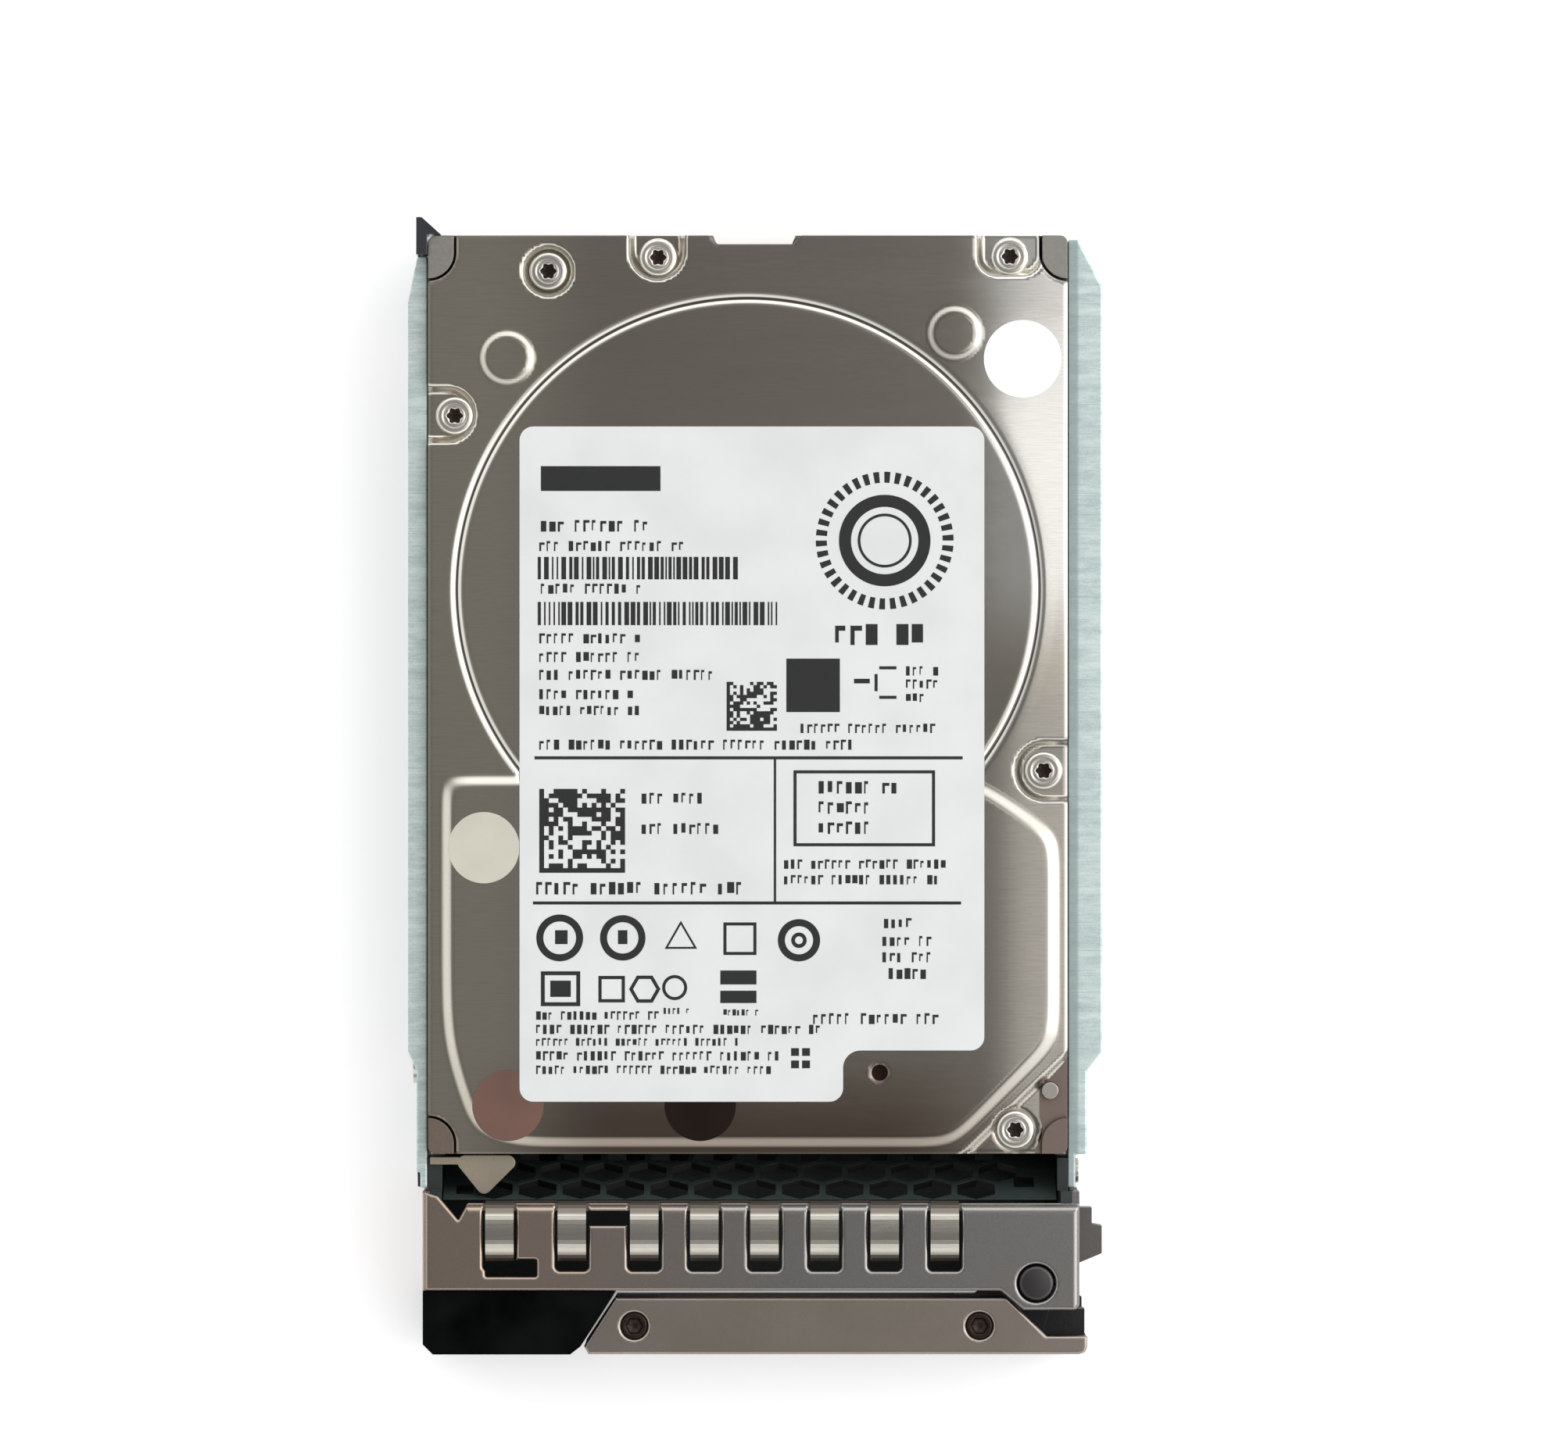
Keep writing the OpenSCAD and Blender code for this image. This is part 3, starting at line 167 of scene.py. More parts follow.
# %% A finish: one material under construction
class Finish:
    """A material with a Principled shader; shader sockets that never vary are set as numbers."""

    def __init__(self, name, **fixed):
        self.material = bpy.data.materials.new(name)
        self.material.use_nodes = True
        self.tree = self.material.node_tree
        self.shader = self.tree.nodes["Principled BSDF"]
        self.set(**fixed)
        self.place = self.node("ShaderNodeTexCoord", out="Object")

    def set(self, **values):
        """Sockets of the shader, named with _ for a space: base_color, roughness, normal ..."""
        names = {s.name.lower().replace(" ", "_"): s for s in self.shader.inputs}
        for name, value in values.items():
            put(self.tree, names[name], value)
        return self

    def node(self, kind, settings=None, inputs=None, out=0):
        """Any node: its settings first, then its sockets; gives one output."""
        node = self.tree.nodes.new(kind)
        for name, value in (settings or {}).items():
            setattr(node, name, value)
        for name, value in (inputs or {}).items():
            put(self.tree, node.inputs[name], value)
        return Wire(self.tree, node.outputs[out])

    def stretched(self, scale):
        """Object coordinates in millimetres, times scale along X, Y and Z."""
        return self.node("ShaderNodeMapping", {"vector_type": "POINT"}, {
            "Vector": self.place, "Scale": tuple(s / MM for s in scale)})

    def noise(self, scale, detail=2.0, rough=0.5):
        """Noise from 0 to 1, with so many waves for a millimetre along X, Y and Z."""
        return self.node("ShaderNodeTexNoise", {}, {
            "Vector": self.stretched(scale), "Scale": 1.0, "Detail": detail, "Roughness": rough})

    def cells(self, scale):
        """Distance to the nearest of scattered points, with so many points for a millimetre."""
        return self.node("ShaderNodeTexVoronoi", {}, {
            "Vector": self.stretched(scale), "Scale": 1.0})

    def tilt(self, letter, kind="True Normal"):
        """One part of the surface's direction: 1 where it faces along that axis."""
        facing = self.node("ShaderNodeNewGeometry", out=kind)
        return self.node("ShaderNodeSeparateXYZ", {}, {"Vector": facing}, letter)

    def axis(self, letter):
        """One Object coordinate in millimetres."""
        return self.node("ShaderNodeSeparateXYZ", {}, {"Vector": self.place}, letter) / MM

    def blend(self, share, first, second):
        """Two colours mixed by a share from 0 to 1."""
        node = self.tree.nodes.new("ShaderNodeMix")
        node.data_type = "RGBA"
        put(self.tree, node.inputs["Factor"], share)
        put(self.tree, [s for s in node.inputs if s.name == "A" and s.type == "RGBA"][0], first)
        put(self.tree, [s for s in node.inputs if s.name == "B" and s.type == "RGBA"][0], second)
        return Wire(self.tree, [s for s in node.outputs if s.type == "RGBA"][0])

    def between(self, value, low, high):
        """A smooth share: 0 below low, 1 above high."""
        return self.node("ShaderNodeMapRange", {"interpolation_type": "SMOOTHSTEP"}, {
            "Value": value, "From Min": low, "From Max": high})

    def soft_edge(self, radius):
        """A normal that rolls over sharp edges by a radius in millimetres."""
        return self.node("ShaderNodeBevel", {"samples": 4}, {"Radius": radius * MM})

    def bump(self, height, depth, strength=1.0, over=None):
        """A normal from a height of 0 to 1, worth depth millimetres."""
        inputs = {"Height": height, "Distance": depth * MM, "Strength": strength}
        if over is not None:
            inputs["Normal"] = over
        return self.node("ShaderNodeBump", {}, inputs)


print("shader helpers ready")

# %% [markdown]
# Most finishes here are one of three families. Rolled or brushed sheet has long fine scratches
# along one direction; blasted or cast metal has an even fine grain; moulded plastic has a soft
# leathery grain with a little dust in a few places. Each family is one function with its own scale.

# %% The metal family
finishes = {}


def metal(slot, colour, rough, scratch=(0.5, 12, 12), grain=14.0, depth=0.004, tint=None,
          edge=0.12, brush=0.35, spread=0.5, stain=0.12, stain_size=0.08):
    """Metal: scratches stretched by `scratch`, a fine grain, broad stains, rolled edges."""
    f = Finish(slot + "_finish", metallic=1.0)
    lines = f.noise(scratch, detail=4, rough=0.6)
    fine = f.noise((grain, grain, grain), detail=2)
    cloud = f.noise((stain_size, stain_size, stain_size), detail=3)
    wear = f.noise((0.9, 0.9, 0.9), detail=5, rough=0.7)
    base = linear(colour)
    other = linear(tint) if tint else tuple(min(1, c * 1.25) for c in base[:3]) + (1,)
    tone = f.blend(f.between(cloud, 0.35, 0.7), base, other)
    dark = tuple(c * (1 - stain) for c in base[:3]) + (1,)
    tone = f.blend(f.between(lines, 0.35, 0.75) * brush, tone, dark)
    tone = f.blend(f.between(wear, 0.55, 0.8) * 0.3, tone, other)
    height = lines * (1 - spread) + fine * spread
    rolled = f.soft_edge(edge) if edge else None
    f.set(base_color=tone, roughness=rough * (0.8 + lines * 0.25 + fine * 0.15 + wear * 0.1),
          normal=f.bump(height, depth, 1.0, rolled))
    finishes[slot] = f
    return f


# %% The plastic and coated family
def plastic(slot, colour, rough, grain=5.0, depth=0.01, tint=None, edge=0.12, coat=0.0, dust=0.15):
    """Plastic, rubber or film: pebbled grain, slow colour drift, dust in a few places."""
    f = Finish(slot + "_finish", metallic=0.0, coat_weight=coat, coat_roughness=0.08)
    pebble = f.cells((grain, grain, grain))
    fine = f.noise((grain * 2, grain * 2, grain * 2), detail=3)
    cloud = f.noise((0.12, 0.12, 0.12), detail=4)
    motes = f.noise((2.2, 2.2, 2.2), detail=6, rough=0.75)
    base = linear(colour)
    other = linear(tint) if tint else tuple(min(1, c * 1.3 + 0.004) for c in base[:3]) + (1,)
    tone = f.blend(f.between(cloud, 0.3, 0.75), base, other)
    pale = tuple(c * 0.6 + 0.12 for c in base[:3]) + (1,)
    tone = f.blend(f.between(motes, 0.62, 0.8) * dust, tone, pale)
    f.set(base_color=tone, roughness=(rough * (0.8 + fine * 0.3 + motes * 0.15)).least(1.0),
          normal=f.bump(pebble * 0.6 + fine * 0.4, depth, 1.0, f.soft_edge(edge) if edge else None))
    finishes[slot] = f
    return f


# %% [markdown]
# The cover is stainless sheet brushed from side to side, so its scratches are long in X and very
# short in Y. It is darker and browner towards the front edge. Its colour also holds painted light:
# a painted reflection that lightens the left side and a band along the right side, with painted
# shade in front of that band, a painted highlight on the rolled slopes and beside the ring, and
# painted shade in the ring's groove. The rails are galvanised steel with cross-wise roll marks,
# which show as pale and dark bands; painted shade darkens the right rail's fold and the side faces
# of both rails.

# %% Sheet metal: cover, rails, shell, fingers, strip
cover_finish = metal("cover_steel", "a8a298", 0.20, scratch=(0.35, 9, 9), grain=9, depth=0.0035,
                     tint="b5ab9c", edge=0, brush=0.45, spread=0.25, stain=0.16, stain_size=0.03)
across, along = cover_finish.axis("X") - centre_x / MM, cover_finish.axis("Y") - centre_y / MM
cloud = cover_finish.noise((0.05, 0.3, 0.05), detail=5, rough=0.6)
streaks = cover_finish.noise((0.35, 9, 9), detail=4, rough=0.6)
sheet_tone = cover_finish.blend(cloud, linear("a09a90"), linear("ada69a"))
# Painted reflection: the sheet's colour is lighter towards the left side.
sheet_tone = cover_finish.blend(cover_finish.between(across, -14.0, -30.0) * 0.7, sheet_tone,
                                linear("ccc6b6"))
# Painted reflection: a lighter band along the right side from y = 2 mm rearwards, and painted shade on that
# band from y = 6 mm forwards.
painted_reflection_band = cover_finish.between(across + cloud * 4.0, 24.0, 31.0)
sheet_tone = cover_finish.blend(painted_reflection_band * cover_finish.between(along, 2.0, 14.0) * 0.5,
                                sheet_tone, linear("f0f0ec"))
sheet_tone = cover_finish.blend(painted_reflection_band * cover_finish.between(along, 6.0, -2.0) * 0.5,
                                sheet_tone, linear("8d8a84"))
# Darker and browner towards the front edge, most in the middle of the width.
front_brown = (cover_finish.between(along + cloud * 6.0, -33.0, -45.0)
        * cover_finish.between(across.size(), 34.0, 14.0))
sheet_tone = cover_finish.blend(front_brown * 0.85, sheet_tone, linear("6d5b4f"))
sheet_tone = cover_finish.blend(cover_finish.between(streaks, 0.35, 0.75) * 0.35, sheet_tone,
                                cover_finish.blend(0.72, (0, 0, 0, 1), sheet_tone))
ring_r = (across ** 2.0 + (along - (drive_l / 2 - 38.7)) ** 2.0) ** 0.5
groove_r, groove_w = 31.80, 0.42
groove = ((ring_r - groove_r) / groove_w) ** 2.0
groove = groove.math("EXPONENT", groove * -1.0)
ring_gap = (ring_r - groove_r).size()
# Painted highlight: the colour is lightened where the surface leans, on the rolled steps, and beside the
# ring; less of it towards the front edge.
lean_of_metal = cover_finish.tilt("Z", "Normal")
highlight_front_weight = cover_finish.between(along, -44.0, -36.0) * 0.3 + 0.25
painted_slope_highlight = (cover_finish.between(lean_of_metal, 0.990, 0.955) * highlight_front_weight).most(
    cover_finish.between(ring_gap, 0.85, 0.5))
sheet_tone = cover_finish.blend(painted_slope_highlight * 0.62, sheet_tone, linear("e2dfd8"))
# Painted shade: dark along the bottom of the ring's groove.
painted_groove_shade = cover_finish.between(ring_gap, 0.24, 0.10)
sheet_tone = cover_finish.blend(painted_groove_shade * 0.75, sheet_tone, linear("2a2621"))
fine = cover_finish.noise((9, 9, 9), detail=2)
brushed = cover_finish.bump(streaks * 0.75 + fine * 0.25, 0.0035)
cover_finish.set(base_color=sheet_tone, normal=cover_finish.bump(1.0 - groove, 0.22, 1.0, brushed))
metal("strip_steel", "a3998f", 0.29, scratch=(5, 5, 5), grain=7, depth=0.005, tint="aca299",
      edge=0, brush=0.5, spread=0.7)
shell_finish = metal("shell_steel", "9a9691", 0.27, scratch=(5, 5, 5), grain=6, depth=0.004,
                     tint="7f7772", edge=0, brush=0.35, spread=0.7, stain_size=0.02)
warm = shell_finish.between(shell_finish.axis("X"), 8.0, -30.0)
finger_marks = shell_finish.noise((0.06, 0.1, 0.06), detail=3)
shell_tone = shell_finish.blend(shell_finish.noise((4, 4, 4), detail=3), linear("8f8e8c"),
                                linear("9c9b99"))
shell_tone = shell_finish.blend(warm * 0.8 + finger_marks * 0.2, shell_tone, linear("a8978a"))
shell_finish.set(base_color=shell_tone)
fingers = metal("finger_steel", "aaa69d", 0.22, scratch=(0.5, 4, 4), grain=12, depth=0.003,
                tint="b9b5ac", edge=0, brush=0.25)
behind_fold = (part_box("front_shell")[1].y / MM - 1.3) - fingers.axis("Y")
finger_tone = fingers.blend(fingers.noise((0.6, 5, 5), detail=4), linear("b2aea4"),
                            linear("c6c2b8"))
# Painted shade: dark at the top of each finger, where it passes over the shell's fold, and a darker band
# from 5.7 mm in front of the fold, where it curves down.
finger_tone = fingers.blend(fingers.between(behind_fold, 1.35, 0.95) * 0.85, finger_tone,
                            linear("5a524b"))
finger_tone = fingers.blend(fingers.between(behind_fold, 5.2, 5.7) * 0.7, finger_tone,
                            linear("665b50"))
fingers.set(base_color=finger_tone)
metal("rivet_steel", "4f4c4c", 0.36, scratch=(3, 3, 3), grain=8, depth=0.004, edge=0.1)
metal("tongue_metal", "9d9585", 0.42, scratch=(4, 4, 4), grain=8, depth=0.006, tint="b5aa98",
      edge=0.15)

# %% Galvanised rails: pale bands across their length
zinc = Finish("zinc_sheet_finish", metallic=0.72)
bands = zinc.noise((0.25, 0.9, 0.25), detail=6, rough=0.72)
rolls = zinc.noise((0.12, 7, 0.12), detail=5, rough=0.7)
specks = zinc.noise((5, 7, 5), detail=4, rough=0.7)
flakes = zinc.cells((1.6, 3.2, 1.6))
right_side = zinc.between(zinc.axis("X"), -5.0, 5.0)
share = zinc.between(bands * 0.5 + specks * 0.25 + rolls * 0.25, 0.38, 0.62)
tone = zinc.blend(share, linear("b3c4c2"), linear("e6f3f1"))
tone = zinc.blend(zinc.between(flakes, 0.15, 0.6) * 0.2, tone, linear("d6e4e2"))
tone = zinc.blend(zinc.between(rolls, 0.5, 0.66) * right_side * 0.55, tone, linear("9fb1ae"))
# Painted shade: a darker strip along the right rail's fold.
painted_fold_shade = zinc.between(zinc.axis("X"), 35.5, 35.1) * zinc.between(zinc.axis("X"), 30.0, 31.0)
tone = zinc.blend(painted_fold_shade * 0.6, tone, linear("8ea19f"))
# Painted shade: upright faces, the rails' sides, get a darker copy of the zinc colour.
painted_flank_shade = zinc.between(zinc.tilt("Z").size(), 0.6, 0.3)
tone = zinc.blend(painted_flank_shade * 0.8, tone, zinc.blend(share, linear("8b9493"), linear("a3abaa")))
zinc.set(base_color=tone, roughness=0.38 + specks * 0.2 - share * 0.08,
         normal=zinc.bump(bands * 0.3 + specks * 0.3 + rolls * 0.4, 0.03, 1.0,
                          zinc.soft_edge(0.15)))
finishes["zinc_sheet"] = zinc

# %% [markdown]
# Inside and below, the drive has cast, turned, ground and plated parts. They are rarely seen, but
# each has its own colour and grain so that an open or turned drive still reads correctly.

# %% Cast, turned and plated metal
casting = metal("cast_aluminium", "a8a59e", 0.42, scratch=(3, 3, 3), grain=5, depth=0.008,
                tint="9b9890")
# Painted shade: the casting goes near black where other surfaces close over it within 1.2 mm, in its
# crevices and gaps.
open_sky = casting.node("ShaderNodeAmbientOcclusion", {"samples": 8}, {"Distance": 1.2 * MM}, "AO")
cast_tone = casting.blend(casting.noise((3, 3, 3), detail=3), linear("98958e"), linear("aaa7a0"))
front_warm = (casting.between(casting.axis("Y"), 0.0, -30.0)
              * casting.between(casting.axis("Z"), lid_z - 4.0, lid_z - 2.0))
cast_tone = casting.blend(front_warm * 0.75, cast_tone, linear("7d6a5f"))
casting.set(base_color=casting.blend(casting.between(open_sky, 0.35, 0.8), linear("1c1a18"),
                                     cast_tone))
metal("screw_steel", "d3cfc6", 0.24, scratch=(4, 4, 4), grain=10, depth=0.004, edge=0.15)
metal("disc_mirror", "dfe1e3", 0.06, scratch=(0.2, 0.2, 9), grain=3, depth=0.0005, edge=0,
      stain=0.03)
metal("turned_aluminium", "cfd1d2", 0.28, scratch=(0.4, 0.4, 14), grain=9, depth=0.003)
metal("magnet_nickel", "b9b6ae", 0.2, scratch=(2, 2, 2), grain=8, depth=0.002)
metal("motor_iron", "6a6c70", 0.5, scratch=(1, 1, 18), grain=7, depth=0.006)
metal("copper_wire", "c8753a", 0.3, scratch=(1, 1, 9), grain=9, depth=0.006, tint="d98c4c")
metal("ground_steel", "cdcfd2", 0.16, scratch=(9, 9, 0.6), grain=9, depth=0.001)
metal("yoke_steel", "aeb0b3", 0.32, scratch=(0.7, 8, 8), grain=8, depth=0.004)
metal("contact_gold", "dcae4a", 0.22, scratch=(5, 0.7, 5), grain=8, depth=0.002, tint="e9c66c")
metal("dark_screw", "332b28", 0.38, scratch=(5, 5, 5), grain=9, depth=0.006, edge=0.12)
metal("spring_wire", "a6a8ab", 0.25, scratch=(2, 2, 2), grain=8, depth=0.002, edge=0)

# %% Plastics, rubber, paper and films
plastic("gasket_rubber", "232529", 0.7, grain=4)
plastic("filter_felt", "2c1310", 0.95, grain=7, depth=0.05)
plastic("slider_ceramic", "2b2c30", 0.3, grain=9, depth=0.002)
plastic("ramp_plastic", "d9d4c3", 0.4)
plastic("flex_film", "b06f2a", 0.3, grain=2, depth=0.003)
plastic("black_plastic", "17181a", 0.42, grain=7, depth=0.012)
# The board: bundles of tracks that turn by a right angle from one area to the next, and pads.
board = plastic("board_green", "1c5236", 0.38, grain=3, depth=0.006, coat=0.4)
pads = board.between(board.cells((0.34, 0.34, 0.0)), 0.15, 0.13)
lines_x = board.between(board.noise((0.06, 2.6, 0.0), detail=0), 0.50, 0.53)
lines_y = board.between(board.noise((2.6, 0.06, 0.0), detail=0), 0.50, 0.53)
turned_area = board.between(board.noise((0.11, 0.11, 0.0), detail=0), 0.49, 0.51)
tracks = board.blend(turned_area, lines_x, lines_y)
mask_tone = board.blend(board.noise((0.2, 0.2, 0.2), detail=4), linear("174a30"), linear("1e573a"))
mask_tone = board.blend(tracks * 0.6, mask_tone, linear("2f7a55"))
board.set(base_color=board.blend(pads, mask_tone, linear("c8c2ac")), metallic=pads * 0.9)
plastic("chip_black", "1b1c1f", 0.5, grain=12, depth=0.006)
plastic("foam", "3b3c41", 0.95, grain=5, depth=0.08)
plastic("smoked_plastic", "2a2c30", 0.2, grain=2, depth=0.004, coat=0.3)
plastic("frame_plastic", "1d2523", 0.45, grain=6, depth=0.014, tint="27302d")
plastic("grille_plastic", "2a3533", 0.4, grain=5, depth=0.012, tint="36423f", dust=0.25)
grille = finishes["grille_plastic"]
web_tone = grille.blend(grille.noise((1.5, 1.5, 1.5), detail=4), linear("2a3432"), linear("3a4643"))
# Painted shade: faces of the grille that do not face well towards +Y, such as the walls of its hexagonal
# holes, are near black.
grille.set(base_color=grille.blend(grille.between(grille.tilt("Y"), 0.75, 0.85), linear("050706"), web_tone))
plastic("handle_plastic", "4f4b48", 0.5, grain=6, depth=0.015, tint="5a5653")
handle = finishes["handle_plastic"]
horn = handle.between(handle.axis("X"), 29.0, 29.3) * handle.between(handle.axis("Y"), -56.4, -56.8)
handle_tone = handle.blend(handle.noise((2, 2, 2), detail=4), linear("4f4b48"), linear("5e5a56"))
handle.set(base_color=handle.blend(horn, handle_tone, linear("050505")))
plastic("gloss_black", "020303", 0.14, grain=1.5, depth=0.004, dust=0.02,
        edge=0.25).set(specular_ior_level=0.05)
plastic("lens", "cfd9c9", 0.15, grain=2, depth=0.003, coat=0.5)
seal_white = plastic("white_film", "fbfbf9", 0.42, grain=6, depth=0.003, tint="f4f3ee",
                     edge=0.05, dust=0.1)
seal_left = seal_white.between(seal_white.axis("X"), 5.0, -5.0)
seal_tone = seal_white.blend(seal_left, linear("fbfbf9"),
                             seal_white.blend(seal_white.noise((0.3, 0.3, 0.3), detail=4),
                                              linear("cdcbbd"), linear("bcb9aa")))
seal_white.set(base_color=seal_tone)
plastic("red_film", "6f5248", 0.34, grain=4, depth=0.004, tint="624a41", edge=0.05, coat=0.05)
plastic("dark_film", "150c07", 0.3, grain=4, depth=0.003, tint="1c120b",
        edge=0.05).set(specular_ior_level=0.2)
plastic("label_paper", "dcdedd", 0.45, grain=5, depth=0.002, tint="d4d6d5", edge=0.05, dust=0.02)

# %% [markdown]
# The record says which finish each node has, so one loop dresses the whole frame.

# %% Dress the nodes that keep their shape
for subpart in frame["record"]["subparts"]:
    node, slot = nodes[subpart["node"]], subpart["material_slot"]
    node.data.materials.clear()
    node.data.materials.append(finishes[slot].material)

# %% [markdown]
# Brushed and stamped metal shows its shape only by what it reflects. The studio is a tent: quite
# dim straight overhead, so that flat sheet looks grey, bright from there outwards, so that every
# rolled edge catches a white line, and dimmer again low down, so that steep walls go dark. One
# large panel on the right brightens that side of the cover.

# %% The tent
world = bpy.data.worlds.new("tent")
bpy.context.scene.world = world
world.use_nodes = True
sky = world.node_tree
sky_place = sky.nodes.new("ShaderNodeTexCoord")
sky_parts = sky.nodes.new("ShaderNodeSeparateXYZ")
sky.links.new(sky_place.outputs["Generated"], sky_parts.inputs[0])
sky_x, sky_y, sky_z = [Wire(sky, sky_parts.outputs[k]) for k in "XYZ"]
sky_ramp = sky.nodes.new("ShaderNodeValToRGB")
sky_ramp.color_ramp.interpolation = "EASE"
tent_stops = [(0.0, 0.20), (0.28, 0.14), (0.42, 0.88), (0.68, 0.90), (0.90, 0.145), (1.0, 0.13)]
while len(sky_ramp.color_ramp.elements) < len(tent_stops):
    sky_ramp.color_ramp.elements.new(1)
for element, (at, level) in zip(sky_ramp.color_ramp.elements, tent_stops):
    element.position, element.color = at, (level, level, level, 1)
put(sky, sky_ramp.inputs["Fac"], sky_z)
sky_level = Wire(sky, sky_ramp.outputs["Color"]) * (1.0 + sky_x * 0.35 + sky_y * 0.25) * 1.9
put(sky, sky.nodes["Background"].inputs["Strength"], sky_level)
put(sky, sky.nodes["Background"].inputs["Color"], (1, 1, 1, 1))


def panel(name, place, aim, size, power):
    """A soft rectangular light at `place` (metres) that faces `aim`."""
    data = bpy.data.lights.new(name, "AREA")
    data.shape, data.size, data.size_y, data.energy = "RECTANGLE", size[0], size[1], power
    lamp = bpy.data.objects.new(name, data)
    bpy.context.scene.collection.objects.link(lamp)
    lamp.location = place
    away = Vector(place) - Vector(aim)
    lamp.rotation_mode = "QUATERNION"
    lamp.rotation_quaternion = away.to_track_quat("Z", "Y")
    lamp.visible_camera = False
    return lamp


panel("right_panel", (0.40, 0.05, 0.43), (0.0, 0.0, 0.0), (0.32, 0.80), 1.0)
scene = bpy.context.scene
scene.view_settings.view_transform = "Standard"
scene.view_settings.look = "None"

# %% Floor and camera
floor_size = 3.0
floor_mesh = bpy.data.meshes.new("floor")
floor_mesh.from_pydata([(-floor_size, -floor_size, 0), (floor_size, -floor_size, 0),
                        (floor_size, floor_size, 0), (-floor_size, floor_size, 0)],
                       [], [(0, 1, 2, 3)])
floor = bpy.data.objects.new("floor", floor_mesh)
scene.collection.objects.link(floor)
floor_finish = Finish("floor_finish", roughness=0.9)
floor_finish.set(base_color=floor_finish.blend(floor_finish.noise((0.01, 0.01, 0.01)),
                                               (0.97, 0.97, 0.97, 1), (0.99, 0.99, 0.99, 1)))
floor_finish.set(emission_color=(1, 1, 1, 1), emission_strength=0.3)
floor_mesh.materials.append(floor_finish.material)

# The camera looks straight down through a long lens, with the connector end at the top.
camera_data = bpy.data.cameras.new("camera")
camera = bpy.data.objects.new("camera", camera_data)
scene.collection.objects.link(camera)
scene.camera = camera
view_w = 171.2 * MM
view_height = 1.4
camera_data.sensor_width = 36
camera_data.lens = 36 * (view_height - lid_z * MM) / view_w
camera.location = (centre_x + 3.95 * MM, centre_y - 3.0 * MM, view_height)
camera.rotation_euler = (0, 0, 0)
print("lens", round(camera_data.lens, 1))

# %% [markdown]
# The cover is one pressed sheet. A press gives every step the same soft S: the metal rolls over,
# drops, and rolls out again. It could be modelled edge by edge with bevels, but a height for each
# place is simpler: a few distance functions say how far a point is from each outline, and a smooth
# step turns that distance into a height. The normals come from the same function, so the rolled
# lines are clean even where the grid is coarse.

# %% Distances from outlines, in millimetres
def from_circle(x, y, cx, cy, r):
    """How far (x, y) lies outside a circle; negative inside."""
    return np.hypot(x - cx, y - cy) - r


def from_box(x, y, x0, y0, x1, y1, r):
    """How far outside a rectangle with round corners: length of the outside part, less r."""
    qx = np.abs(x - (x0 + x1) / 2) - (x1 - x0) / 2 + r
    qy = np.abs(y - (y0 + y1) / 2) - (y1 - y0) / 2 + r
    return np.hypot(np.maximum(qx, 0), np.maximum(qy, 0)) + np.minimum(np.maximum(qx, qy), 0) - r


def from_polygon(x, y, corners, r=0.0):
    """How far outside a convex polygon, corners anticlockwise: the greatest of the distances
    from its sides, with corners rounded by the log-sum of those distances when r is given."""
    a = np.asarray(corners, float)
    side = np.roll(a, -1, 0) - a
    out = np.stack([side[:, 1], -side[:, 0]], 1) / np.hypot(*side.T)[:, None]
    d = np.stack([(x - p[0]) * n[0] + (y - p[1]) * n[1] for p, n in zip(a, out)])
    if r == 0:
        return d.max(0)
    top = d.max(0)
    return top + r * np.log(np.exp((d - top) / r).sum(0))


def inside(d, width):
    """1 well inside an outline, 0 outside, with a smooth S of the given width about the edge."""
    t = np.clip(0.5 - d / width, 0, 1)
    return t * t * (3 - 2 * t)


# %% The height of the cover at every place
half_w, half_l = drive_w / 2, drive_l / 2
edge_z, seat_z = lid_z - 0.5, lid_z - 1.5
disc_y = half_l - 38.7
disc_r = 32.5
arm_field = [(-33.1, -9.2), (-33.1, -38.2), (-29.9, -47.4), (-26.5, -49.1), (22.4, -49.1),
             (33.6, -37.9), (33.6, -14.5), (30.6, -12.7), (26.4, -9.2)]
corner_r, corner_rear, corner_front = 3.1, half_l - 1.9, -half_l + 1.1
bosses = [(-26.3, 36.8, 2.65), (22.6, 39.5, 2.65)]
breather = (14.4, -41.3, 0.9)


def cover_outline(x, y):
    """The sheet's edge: a rectangle less four corner cut-outs, the rear notch and the breather."""
    d = from_box(x, y, -half_w, -half_l, half_w, half_l, 0.8)
    beyond = np.minimum(y - corner_rear, 0) * (y > 0) + np.maximum(y - corner_front, 0) * (y <= 0)
    d = np.maximum(d, corner_r - np.hypot(np.abs(x) - half_w, beyond))
    notch = from_polygon(x, y, [(-3.3, half_l - 0.95), (4.9, half_l - 0.95),
                                (6.6, half_l + 1), (-5.0, half_l + 1)])
    d = np.maximum(d, -notch)
    return np.maximum(d, breather[2] - np.hypot(x - breather[0], y - breather[1]))


